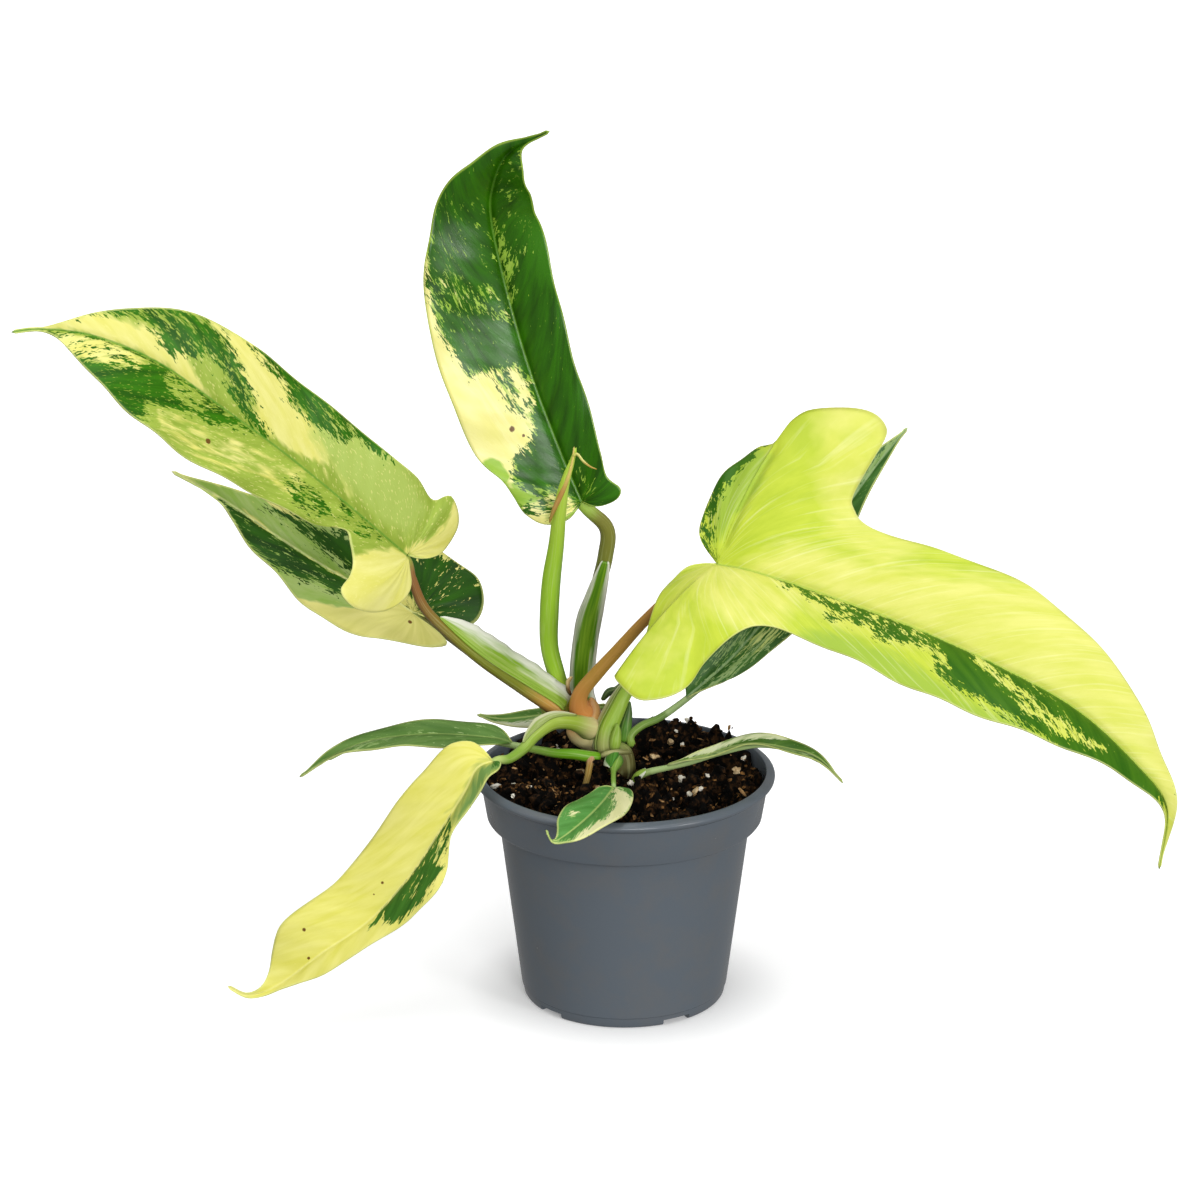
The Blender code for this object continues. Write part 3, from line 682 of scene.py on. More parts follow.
# %% What a leaf has unless its table says otherwise
PLAIN = dict(
    lift_left=14, lift_right=14, camber=12,  # degrees each half stands up, and more at the midrib
    pleat=0.08, swell=(0, 0, 50),  # height of the pleats; height, start and period of the swells
    folds=(),  # each a line, its depth and its width
    vein_sweep=1.3, vein_bend=0.5,  # how far forward the side veins run, and how much they bend
    seed=1, ragged=12, drift=9, soft=0.7, specks=0.7,  # the noise on the tissues' borders, in mm
    tinge=(), sheen_lines=0, spots=(),  # a tone and its outlines; painted sheen lines; brown spots: along, out, radius
    rim="#dbe08c", rib_tone="#b9cc78", rib_show=0.6, rib_end=(300, 299),
    shine=0.22, satin=0.34,
)

# %% Upper left leaf
LEAVES = {}
# Large, leaning left: light green and cream, with streaks of dark flecks.
LEAVES["upper_left"] = dict(
    rib=[(-85, -4, 186), (-106, -14, 209), (-130, -22, 233), (-153, -30, 254), (-176, -37, 274),
        (-199, -42, 286), (-218, -46, 290), (-230, -50, 290)],
    face=[(0.3, -0.75, 0.6), (0.25, -0.72, 0.66)],
    left=[(0, 0), (-5, 10), (-4, 19), (1.5, 28), (10, 35), (18, 39), (24, 38.5), (26, 35), (23.5, 27),
        (24, 20), (29, 14), (34, 11.8), (50, 20), (82, 27), (108, 31), (134, 30), (155, 21), (175, 3),
        (190, 0)],
    right=[(0, 0), (-7, 3.5), (-12, 9), (-13, 15), (-11.5, 22), (-7, 27), (-1.5, 29.6), (1, 27.8),
        (2.5, 25), (6, 23.8), (16, 26.3), (30, 26), (50, 26), (76, 26), (101, 27), (127, 24), (150, 14),
        (174, 2), (190, 0)],
    mesh=(150, 26), base="light", seed=4, fuzz=10, vein_sweep=1.4, soft=1.1, drift=8, specks=0.64,
    tones=("#1f5000", "#357404", "#8ca23a", "#9cb246", "#d6d268", "#e2dd88"),
    tinge=("#a8bc5a", [(6, 6), (20, 4), (44, 6), (64, 12), (66, 20), (48, 25), (24, 27), (6, 20)]),
    patches=[
        ("cream", 1, [(2, 0), (-9, -8), (-8, -22), (2, -36), (18, -43), (34, -40), (25, -24), (23, -17),
            (12, -6)]),
        ("cream", 1, [(2, 1), (-14, 5), (-16, 16), (-12, 27), (-4, 30), (-6, 22), (-6, 14), (-1, 6)]),
        ("cream", 0, [(50, 8), (62, 3), (84, 2), (94, 11), (110, 20), (122, 25), (100, 28), (84, 23),
            (78, 17), (60, 16)]),
        ("cream", 0, [(36, 4), (50, 4), (60, 12), (44, 14)], -0.8),
        ("cream", 0, [(60, -1), (66, -6), (92, -12), (126, -22), (122, -29), (92, -26), (80, -18),
            (60, -14), (56, -6)], -0.4),
        ("cream", 1, [(108, 1), (182, 1), (165, 6), (150, 9), (136, 9), (126, 7), (118, 3)]),
        ("dark", 0, [(15, -1), (38, -1.5), (34, -7), (24, -9)], -0.6),
        ("dark", 0, [(40, -9), (46, -8), (62, -8), (64, -13), (58, -17), (48, -16)], 0.2),
        ("dark", 0, [(85, -1), (96, -6), (104, -12), (118, -15), (128, -20), (133, -21), (130, -28),
            (142, -33), (156, -26), (170, -14), (182, -3), (176, 0)]),
        ("light", 0, [(104, -2), (108, -9), (118, -12), (127, -9), (128, -2)], 0.8),
        ("cream", 0, [(136, -2), (139, -8), (148, -12), (164, -12), (174, -5), (172, -1)], 1.0),
        ("dark", 0, [(78, 1), (87, 1), (94, 4), (102, 7), (110, 12), (119, 14), (119, 9), (126, 8),
            (127, 5), (136, 7), (137, 12), (150, 12), (168, 6), (184, 2), (168, 12), (140, 21),
            (122, 24), (108, 19), (96, 12), (86, 5)], 4),
        ("light", 0, [(122, 12), (136, 13), (160, 9), (170, 6), (146, 17), (128, 20)], -1.2),
        ("light", 0, [(88, 6), (100, 9), (110, 15), (104, 17), (92, 11)], -0.8),
        ("dark", 1, [(32, 25.5), (50, 23), (52, 19), (60, 17), (80, 18), (80, 22), (90, 24), (104, 27),
            (100, 31), (30, 31)], 3),
        ("light", 0, [(46, 21), (58, 20), (64, 23), (50, 24)], -0.5),
    ],
    spots=[(102.5, -19.5, 1.3)], rib_tone="#558a28", rib_show=0.7,
)

# %% Rear left leaf
# Behind it: dark green, with a cream margin below and cream flecks on the lobe.
LEAVES["rear_left"] = dict(
    rib=[(-85, 34, 149), (-96, 38, 155), (-111, 42, 160), (-135, 46, 174), (-162, 50, 192),
        (-182, 54, 202)],
    face=[(0.25, -0.7, 0.66), (0.25, -0.7, 0.66)],
    left=[(0, 0), (-10, 1.2), (-19, 3.5), (-16, 8.5), (-8, 14.5), (2, 21), (12, 25), (27, 24.7),
        (40, 22.5), (55, 17), (70, 12.5), (82, 7), (92, 1.5), (112, 0)],
    right=[(0, 0), (-12, 3), (-20.5, 7), (-23.3, 12.5), (-21, 20), (-14, 26.2), (-4, 27.3), (12, 27.3),
        (30, 24.5), (48, 19), (66, 13), (80, 8.5), (97, 3.5), (112, 0)],
    mesh=(100, 18), base="cream", seed=9, vein_sweep=2.4, vein_bend=1.0, specks=0.75,
    tones=("#163a00", "#265600", "#86a644", "#9db266", "#c6c268", "#d6d07c"),
    patches=[
        ("light", 0, [(8, -2), (12, -12), (28, -16), (44, -21), (60, -18), (100, -6), (112, 0), (60, 0),
            (28, -1)]),
        ("dark", 1, [(28, -1), (30, -9), (40, -9), (46, -13), (62, -13), (76, -10), (90, -1)], 2.4),
        ("light", 0, [(28, 0), (112, 0), (80, 9), (60, 10), (28, 30), (8, 30)]),
        ("dark", 0, [(26, 4), (45, 5), (62, 8), (74, 6), (66, 10), (50, 12), (40, 16), (34, 15),
            (26, 10)]),
        ("dark", 0, [(26, 18), (42, 19), (36, 23), (26, 22)], -0.6),
        ("dark", 1, [(-2, 2), (-26, 5), (-28, 22), (-8, 29), (8, 24), (16, 18), (8, 8)]),
        ("cream", 0, [(-14, 8), (-4, 8), (0, 16), (-6, 22), (-14, 18)], -2.6),
        ("cream", 0, [(-14, 25), (-4, 22), (4, 20), (12, 24), (6, 30), (-6, 30)], -2),
    ],
    spots=[(-2, -6, 1.0)], rib_tone="#c9cf8c",
)

# %% Top leaf
# Upright: dark green, cream along one side, and the glossiest of them all.
LEAVES["top"] = dict(
    rib=[(-17, 12, 203), (-26, 16, 224), (-37, 22, 253), (-46, 27, 284), (-52, 28, 313), (-51, 24, 328),
        (-45, 17, 342), (-29, 8, 353)],
    face=[(0.1, -0.96, 0.25), (0.12, -0.97, 0.2), (0.2, -0.9, 0.4)],
    left=[(0, 0), (-4, 8), (-2, 17.5), (5, 23), (13, 24.5), (20, 26.5), (33, 32.5), (58, 34.5),
        (83, 34.5), (105, 31), (119, 25), (133, 18.5), (142, 10.5), (150, 5.5), (158, 2.5), (171, 0)],
    right=[(0, 0), (-4, 6), (-4, 14), (-0.5, 17.5), (6, 14.5), (16, 16.5), (35, 18.7), (58, 19.8),
        (83, 20.7), (103, 21), (120, 19.5), (133, 18), (145, 15.5), (154, 11), (158, 2), (171, 0)],
    lift_left=12, lift_right=30, mesh=(140, 26), base="dark", seed=21, vein_sweep=1.1, vein_bend=0.6,
    specks=0.75, shine=0.42, fuzz=11, satin=0.24, swell=(1.2, 15, 48), rib_end=(150, 110),
    tones=("#1f4a00", "#306c00", "#88b034", "#9fc04c", "#e6e084", "#ede79c"), rim="#a9c24c",
    # The tinge is a brighter green by the right edge, painted light shining through the thin margin.
    tinge=("#357208", [(80, 24), (92, 15), (120, 12), (150, 9), (156, 12), (140, 20), (110, 26)]),
    patches=[
        ("light", 0, [(-2, -3), (-8, -12), (0, -28), (30, -36), (29, -24), (13, -20), (9, -9),
            (4, -3)], 2.5),
        ("cream", 0, [(-2, -4), (-6, -12), (0, -24), (8, -26), (8, -12), (4, -4)], 0.6),
        ("dark", 0, [(1, -8), (9, -7), (12, -16), (6, -22), (1, -16)], -0.3),
        ("cream", 1, [(20, -23), (27, -20), (28, -13), (34, -8), (40, -9), (44, -15), (52, -14),
            (60, -17), (60, -24), (66, -27), (78, -31), (98, -32), (116, -28), (112, -36), (85, -40),
            (45, -40), (18, -34)]),
        ("light", 0, [(12, -24), (22, -23), (30, -27), (30, -34), (14, -30)]),
        ("cream", 0, [(36, -9), (46, -14), (60, -16), (60, -8), (52, -2), (42, -3)], 0.3),
        ("cream", 0, [(43, -3), (45, -8), (57, -9), (60, -5), (52, -3)], 1.6),
        ("cream", 0, [(76, -2), (82, -10), (86, -20), (88, -29), (100, -30), (104, -22), (96, -17),
            (90, -8), (86, -3)], -1.2),
        ("cream", 0, [(62, -12), (76, -14), (86, -24), (70, -24)], -3.0),
        ("light", 0, [(104, -16), (106, -28), (128, -22), (124, -14)], -2.6),
        ("light", 0, [(86, -4), (100, -6), (124, -6), (118, -2), (96, -1)], -2.6),
        ("light", 0, [(84, 0.5), (96, 0.5), (116, 1), (106, 4), (98, 6), (90, 3)], 0.2),
        ("light", 0, [(102, 3), (122, 6), (118, 14), (104, 13)], -2.4),
        ("light", 0, [(136, 1), (150, 1), (158, 3), (154, 10), (138, 12), (130, 10)], -2.2),
        ("light", 0, [(3, 2), (10, 3), (12, 6), (5, 7)], -1.8),
    ],
    spots=[(37, -15.5, 1.3), (33, -12, 0.7)], rib_tone="#5f9020",
)

# %% Lime leaf, on the right
# The big lime leaf: three lobes, and a dark band that starts at the midrib and runs to the tip.
LEAVES["right"] = dict(
    rib=[(36, -8, 184), (50, -14, 183), (78, -22, 176), (112, -32, 166), (146, -42, 153),
        (174, -50, 139), (196, -56, 120), (209, -58, 102), (207, -58, 76)],
    face=[(0.1, -0.62, 0.78), (0.2, -0.66, 0.72), (0.5, -0.66, 0.5)],
    left=[(0, 0), (-10, 9), (-12, 19), (-11, 30), (-8, 39), (-3, 46), (2, 51), (7, 53), (9, 58),
        (11, 65), (16, 71), (28, 75.6), (37, 76.6), (43, 73.5), (44.5, 68), (43, 57), (41, 43),
        (43, 37), (52, 31.7), (80, 33), (115, 34), (156, 23), (196, 7), (216, 2), (231, 0)],
    right=[(0, 0), (-10, 5), (-13, 14), (-13.5, 25), (-11, 40), (-7, 58), (-5, 69), (-5.3, 75),
        (-9.3, 79), (-5, 83.5), (3, 88), (8, 86.5), (13, 82), (16, 74), (16.5, 60), (18.5, 45),
        (22, 36), (28, 30), (38, 27.6), (59, 29), (86, 32), (113, 31), (150, 24), (190, 8), (214, 2),
        (231, 0)],
    lift_left=16, lift_right=16, camber=16, pleat=0.03, mesh=(210, 32), base="light", seed=33,
    # The whitish lines along the veins are painted sheen.
    ragged=12, soft=5, vein_sweep=1.1, vein_bend=0.6, specks=0.9, sheen_lines=0.35, drift=10,
    tones=("#2a5c04", "#406f0c", "#adc034", "#bbca3e", "#cbd059", "#d8d874"),
    # The first tinge field is a greener band where the upper lobe folds down, darker with painted shade
    # beside the fold's real crease.
    tinge=(
        "#98b43a",
        [(-3, -8), (-9, -22), (-5, -42), (-1, -50), (7, -51), (8, -36), (2, -16)],
        [(44, 25), (56, 21), (80, 21), (110, 26), (150, 25), (150, 34), (90, 40), (46, 36)],
    ),
    folds=[([(1, -8), (9, -50), (9.1, -50)], 1.3, 1.6)],
    patches=[
        ("cream", 2, [(20, -78), (46, -76), (48, -60), (44, -40), (52, -31), (70, -31), (60, -18),
            (40, -26), (30, -44)], 3),
        ("cream", 2, [(14, -1), (26, -12), (60, -16), (90, -24), (120, -36), (200, -20), (231, 0)]),
        ("cream", 2, [(0, 1), (96, 1), (90, 8), (64, 17), (44, 12), (36, 24), (24, 34), (10, 30),
            (-4, 14)], 4),
        ("cream", 1, [(-2, 20), (4, 24), (6, 60), (2, 76), (-3, 50)], -3),
        ("light", 1, [(38, 10), (52, 18), (64, 16), (92, 14), (104, 22), (170, 22), (150, 30), (90, 36),
            (50, 34), (36, 26)]),
        ("dark", 0, [(26, 0.5), (60, 0.5), (60, 12), (56, 13), (50, 17), (51, 12), (44, 7), (40, 8),
            (36, 4), (29, 4)], 0.7),
        ("dark", 0, [(58, 0.5), (92, 0), (92, 8), (84, 12), (72, 17), (66, 12), (60, 13)], 1.1),
        ("dark", 1, [(86, -1), (106, -2), (150, -1.5), (190, -2), (206, 0), (196, 7), (178, 16),
            (160, 22), (140, 24), (112, 22), (106, 23), (99, 21), (97, 16), (92, 9)]),
        ("cream", 0, [(93, 7), (98, 12), (101, 19), (96, 15)], 1),
        ("cream", 0, [(106, -1), (112, 2), (122, 6), (136, 10), (130, 13), (118, 9), (109, 5)], 0.9),
        ("cream", 0, [(118, 1), (136, 2), (146, 8), (132, 8)], -2.5),
        ("cream", 0, [(128, 15), (140, 11), (150, 11), (160, 12), (174, 8), (164, 14), (150, 18),
            (134, 18)], 0.6),
        ("dark", 1, [(174, 1), (190, 0), (206, 0), (196, 7), (180, 15), (166, 18), (160, 17),
            (168, 11)]),
        ("light", 0, [(-3, -6), (-12, -22), (-6, -54), (9, -54), (8, -34), (1, -16)]),
        ("dark", 0, [(-2, -3), (-14, -8), (-16, -26), (-12, -34), (-7, -30), (-7, -14)], 0.5),
        ("dark", 0.6, [(-12, -28), (-12, -42), (-4, -54), (3, -53), (-1, -44), (-5, -34), (-7, -28)]),
        ("dark", 0, [(158, -26), (190, -12), (208, -5), (208, -9), (190, -18), (160, -30)]),
    ],
    rib_tone="#7f9f30",
)

# %% Rear right leaf
# Rises behind the lime leaf: dull dark green with pale streaks.
LEAVES["rear_right"] = dict(
    rib=[(25, 22, 117), (44, 30, 132), (64, 40, 154), (85, 50, 182), (101, 57, 203), (114, 62, 218)],
    face=[(-0.2, -0.85, 0.5), (-0.2, -0.85, 0.5)],
    left=[(0, 0), (13, 14), (50, 20), (89, 14), (119, 6), (142, 0)],
    right=[(0, 0), (23, 8), (50, 14), (81, 11), (117, 4), (142, 0)],
    mesh=(100, 16), base="dark", seed=41, vein_sweep=2.4, vein_bend=1.0, specks=0.7,
    tones=("#2c5418", "#44702e", "#7d9c52", "#8fa86c", "#b4c468", "#c8d080"),
    patches=[
        ("light", 0, [(0, 0), (10, 2), (30, 4), (48, 6), (60, 8), (40, 8), (18, 5)], 0.6),
        ("light", 0, [(100, -4), (112, -6), (130, -3), (142, 0), (120, 2), (104, 1)], 2),
        ("cream", 0, [(26, 2), (34, 0), (44, 4), (46, 11), (36, 10), (30, 6)], 0.2),
        ("light", 0, [(8, -2), (40, -6), (46, -3), (20, 0)], -0.8),
    ],
    rib_tone="#8ea878",
)

# %% Left leaf
# Narrow, arching: grey-green with a thin cream margin.
LEAVES["left"] = dict(
    rib=[(-45, 4, 105), (-54, 4, 107), (-77, 5, 108), (-101, 6, 105), (-117, 6, 98), (-130, 6, 89)],
    face=[(0, -0.3, 0.95), (0, -0.3, 0.95)],
    left=[(0, 0), (6, 6), (14, 8.5), (32, 10.2), (48, 9), (63, 5), (76, 1.5), (90, 0)],
    right=[(0, 0), (6, 5.5), (14, 7.5), (29, 7.4), (44, 6.5), (60, 4.8), (76, 3), (90, 0)],
    lift_left=8, lift_right=8, mesh=(70, 10), base="dark", seed=52, vein_sweep=3, rib_show=0.25,
    tones=("#49702a", "#678a42", "#82a258", "#98b270", "#c6cf94", "#d8dcae"),
    patches=[
        ("cream", 0, [(16, -9), (60, -8), (70, -4), (50, -3), (20, -4)], -2.3),
        ("light", 0, [(44, -0.5), (56, -4), (80, -3), (90, 0)], -0.4),
        ("cream", 0, [(2, 3), (12, 5), (40, 5), (60, 2), (30, 1)], -2.8),
    ],
)

# %% Hanging leaf
# Nearly all cream, with one dark sector beside the midrib.
LEAVES["hanging"] = dict(
    rib=[(-52, -27, 109), (-58, -30, 107), (-63, -33, 98), (-72, -36, 84), (-84, -39, 66),
        (-100, -42, 48), (-119, -45, 35), (-136, -46, 22), (-148, -48, 18), (-156.5, -48.5, 22)],
    face=[(-0.35, -0.75, 0.55), (-0.5, -0.75, 0.42), (-0.4, -0.8, 0.42)],
    left=[(0, 0), (-2, 3.5), (3, 7.5), (10, 8), (20, 6.3), (34, 7), (45, 13.5), (55, 17), (67, 14.7),
        (82, 11), (96, 9.7), (108, 8.5), (119, 5), (128, 2.5), (136, 1.5), (145, 0)],
    right=[(0, 0), (1.5, 9), (5.5, 13), (10.5, 16), (18, 18.3), (35, 20.7), (51, 21.5), (68, 21),
        (83, 20.3), (99, 19.8), (110, 19), (116, 16.5), (122, 12), (128.5, 5.5), (136, 1.5), (145, 0)],
    mesh=(120, 18), base="cream", seed=61, ragged=8, fuzz=4, vein_sweep=1.6, specks=0.78,
    tones=("#285612", "#417422", "#94b052", "#a8bc68", "#d6d25e", "#e2dd7c"),
    tinge=("#6b8c46", [(-6, -8), (16, -9), (28, -7), (30, -2), (14, -1), (-4, 0)]),
    patches=[
        ("dark", 0, [(29, -0.5), (31, -4), (38, -8), (45, -9), (46, -13), (60, -14), (72, -11),
            (77, -8), (75, -4), (84, -4), (76, 0)]),
        ("light", 0, [(31, -2), (33, -6), (46, -9), (44, -3)], -0.4),
        ("light", 0, [(46, -3), (52, -8), (66, -8), (62, -4)], -1.2),
        ("dark", 0, [(-8, -8), (-6, 0), (-1, 1), (2, -4)]),
    ],
    spots=[(67, 6.5, 0.7), (105, 11.5, 0.8), (110, 1.5, 0.7), (73, 6, 0.4)],
    rib_tone="#e4e08c",
)

# %% Small leaf at the back
# Behind the crowns.
LEAVES["rear_small"] = dict(
    rib=[(-7, 42, 106), (-22, 42, 104), (-38, 43, 101), (-50, 45, 99), (-60, 47, 100)],
    face=[(0, -0.5, 0.85), (0, -0.5, 0.85)],
    left=[(0, 0), (18, 6), (35, 6), (46, 3), (54, 0)],
    right=[(0, 0), (16, 3), (31, 3), (45, 2), (54, 0)],
    lift_left=10, lift_right=10, mesh=(44, 8), base="dark", seed=71, ragged=5,
    tones=("#4d7a2c", "#628c40", "#93a964", "#a6b87a", "#bcc29c", "#cdd0b4"),
    patches=[
        ("cream", 0, [(6, -3), (24, -3.5), (40, -3), (52, -1), (46, -6), (20, -9), (6, -7)]),
        ("light", 0, [(10, -3), (24, -3.5), (36, -3), (28, -1.5), (14, -1)], 0.5),
    ],
)

# %% Low leaf on the right
# Narrow, low: striped along its veins.
LEAVES["low_right"] = dict(
    rib=[(17, -6, 99), (32, -8, 104), (49, -11, 110), (65, -14, 109), (76, -16, 106), (86, -18, 96)],
    face=[(0, -0.35, 0.93), (0.4, -0.35, 0.85)],
    left=[(0, 0), (16, 2.5), (37, 4.5), (51, 4), (64, 2), (76, 0)],
    right=[(0, 0), (14, 2.5), (33, 3.2), (49, 4.5), (63, 4), (76, 0)],
    lift_left=24, lift_right=24, mesh=(56, 8), base="dark", seed=81, ragged=2,
    tones=("#3a601c", "#54792c", "#86a65c", "#98b070", "#c6ce9a", "#d8dcb4"),
    patches=[
        ("cream", 0, [(0, -1), (20, -3), (44, -5), (50, -3.5), (40, -2), (20, -0.5)], 1.5),
        ("light", 0, [(4, 3), (40, 3), (62, 4), (40, 1), (10, 1)], 0.2),
        ("cream", 0, [(50, 0.5), (66, 1), (60, 2.5)]),
    ],
)

# %% Front leaf
# Over the rim: green, with a broad cream border on one side.
LEAVES["front"] = dict(
    rib=[(-4.5, -26, 97.5), (-9, -43, 98), (-15.5, -58, 97), (-23.5, -69.5, 94.5), (-28, -73.5, 94),
        (-30.5, -72, 98)],
    face=[(0, -0.1, 1), (0, -0.15, 1)],
    left=[(0, 0), (3, 6), (10, 10.5), (20, 12.6), (30, 13), (40, 11), (47, 7.5), (52.5, 2.5), (60, 0)],
    right=[(0, 0), (5, 4.5), (12, 6.5), (22, 9), (32, 10), (42, 8), (49, 4), (53, 1.5), (60, 0)],
    lift_left=8, lift_right=8, camber=10, mesh=(60, 14), base="dark", seed=91, ragged=8,
    tones=("#477f34", "#5c984a", "#93b564", "#a5c478", "#dcdba0", "#e9e6b4"),
    patches=[
        ("cream", 0, [(0, -1), (16, -13), (38, -15), (54, -6), (48, -5), (40, -6), (34, -8), (22, -7),
            (14, -3), (6, -1)]),
        ("cream", -1, [(32, 3), (38, 4), (40, 7), (32, 7)]),
        ("cream", -1, [(8, 6), (24, 11), (36, 13), (30, 10), (20, 8)]),
        ("light", 0, [(50, -6), (60, -1), (52, -1)]),
        ("light", 0, [(50, 6), (60, 1), (52, 1)]),
    ],
)

# %% Hidden leaf
# Behind the lime leaf, on the thick stalk.
LEAVES["hidden"] = dict(
    rib=[(13, 26, 136), (26, 28, 150), (42, 30, 164), (58, 30, 174)],
    face=[(-0.1, -0.8, 0.6), (-0.1, -0.8, 0.6)],
    left=[(0, 0), (18, 7), (42, 6), (60, 0)],
    right=[(0, 0), (21, 8), (44, 7), (60, 0)],
    lift_left=10, lift_right=10, mesh=(50, 10), base="dark", seed=95,
    tones=("#2c5c1c", "#42762c", "#8cab52", "#9db866", "#d2d484", "#dfe09c"),
    patches=[
        ("light", -1, [(0, 0), (20, 5), (60, 2), (40, 8), (10, 6)]),
    ],
)

# %% The blades
SLOTS = dict.fromkeys(("upper_left", "rear_left", "top", "hanging"), "leaf_variegated")
SLOTS["right"] = "leaf_lime"
for name, own in LEAVES.items():
    leaf = PLAIN | own
    places, flat = blade_form(leaf, *leaf["mesh"])
    spots = flat.reshape(-1, 3)[:, :2]
    depth = painted(spots, leaf["base"], leaf["patches"]).reshape(flat.shape)
    width = np.median([out for _, out in leaf["left"] + leaf["right"]])
    vein = vein_places(flat[..., 0], flat[..., 1], leaf["vein_sweep"], leaf["vein_bend"], width)
    fields = [inside_by(spots, corners) for corners in leaf["tinge"][1:]]
    tinge = np.max(fields or [np.full(len(spots), -9.0)], axis=0).reshape(flat.shape[:2])
    bm = cloth_of(places, flat=flat, depth=depth, vein=vein, tinge=tinge)
    bmesh.ops.remove_doubles(bm, verts=bm.verts, dist=0.02 * MM)
    skins = [leaf_skin("leaf_" + name, leaf), leaf_skin("underleaf_" + name, leaf, under=True)]
    slot = SLOTS.get(name, "leaf_green")
    blade = piece("leaf_" + name, bm, skins, slot, ["blade_" + name], sheet=True)
    shell = blade.modifiers.new("thickness", "SOLIDIFY")
    shell.thickness, shell.offset = 0.5 * MM, 0
    shell.material_offset = 1

# %% [markdown]
# ## Stalks and sheaths
# A leaf stalk is a juicy round stem. It runs on under its blade as the raised keel of the midrib,
# so the tube made here follows both. Its colour changes from the crown outwards, and it is ribbed
# very finely along its length. Round points from the crown out, each with a radius, give its line.


# %% Tube
def stem_line(points, steps):
    """The smooth line through points (x, y, z, radius), in steps, and how far along each step is."""
    fine = smooth(points, np.linspace(0, len(points) - 1, steps))
    return fine, run_of(fine[:, :3])


def stem_frame(fine, run, along, face):
    """The line at the distances along, and there the way up, as near face as can be, and sideways."""
    line = read_off(along, run, fine)
    forward = unit(np.gradient(line[:, :3], axis=0))
    up = np.asarray(face, float)
    up = unit(up - (forward @ up)[:, None] * forward)
    return line, up, np.cross(forward, up)


def tube_form(points, spacing=1.5, around=20, face=(0, -0.6, 0.8), oval=1.0):
    """Crossings of a round stem with closed ends. Each one's place on it is the distance along, how
    much it faces the way that face looks, and its share of the length."""
    fine, run = stem_line(points, 40 * (len(points) - 1) + 1)
    count = max(8, round(run[-1] / spacing))
    along = np.linspace(0, run[-1], count + 1)
    line, up, side = stem_frame(fine, run, along, face)
    turn = np.linspace(0, math.tau, around + 1)
    ends = np.clip(np.minimum(along / line[0, 3], (run[-1] - along) / line[-1, 3]), 0, 1)
    radius = line[:, 3] * np.sqrt(1 - (1 - ends) ** 2)
    places = line[:, None, :3] + radius[:, None, None] * (
        np.cos(turn)[:, None] * up[:, None] + oval * np.sin(turn)[:, None] * side[:, None]
    )
    shares = np.broadcast_arrays(along[:, None], np.cos(turn)[None], (along / run[-1])[:, None])
    return places, np.stack(shares, -1)


# %% Stem skin
def stem_skin(name, tones, under, gloss=0.4, stops=((0.02, 0.34), (0.4, 0.72)), fine="#dfe6a4"):
    """Smooth waxy skin of a stalk, finely ribbed along. tones run from the crown out, each taking
    over between two shares of the length; under is the tone of the sides turned away from the way
    the stalk faces, its own darker colour there with painted shade; fine is the tone of the ribs."""
    made, tree, shader = new_material(name)
    stem = put(tree, "Attribute", attribute_name="stem").outputs["Vector"]
    _, facing, far = put(tree, "SeparateXYZ", {0: stem}).outputs
    layers = []
    for (start, end), tone in zip(stops, tones[1:]):
        fade = {VALUE: far, LOW: start, HIGH: end}
        layers.append((put(tree, "MapRange", fade, interpolation_type="SMOOTHSTEP"), tone))
    # Painted shade, over the stalk's own darker sides: the sides turned away from its face take under.
    away = put(tree, "MapRange", {VALUE: facing, LOW: 0.35, HIGH: -0.75})
    layers.insert(-1, (away, under))  # the last tone covers the sides too
    lines = put(tree, "Mapping", {"Vector": stem, "Scale": (0.05, 9, 0)})
    rib = put(tree, "TexNoise", {"Vector": lines, "Scale": 1, "Detail": 3})
    layers.append((put(tree, "MapRange", {VALUE: rib, LOW: 0.5, HIGH: 0.75, TO_HIGH: 0.3}), fine))
    skin = cover(tree, colour(tones[0]), [(share, colour(tone)) for share, tone in layers])
    relief = put(tree, "Bump", {"Height": rib, "Strength": 0.3, "Distance": 0.3 * MM})
    feed(shader, {"Base Color": skin, "Normal": relief})
    feed(shader, {"Roughness": gloss, "IOR": 1.42, "Specular IOR Level": 0.3})
    return made


def stem(name, points, tones, under, slot, replaces=(), look=None, **form):
    """A round piece. look holds what its skin has of its own, and form what its tube has."""
    places, on_stem = tube_form(points, **form)
    bm = cloth_of(places, stem=on_stem)
    bmesh.ops.remove_doubles(bm, verts=bm.verts, dist=0.01 * MM)
    skin = stem_skin("skin_" + name, tones, under, **(look or {}))
    return piece(name, bm, [skin], slot, replaces)


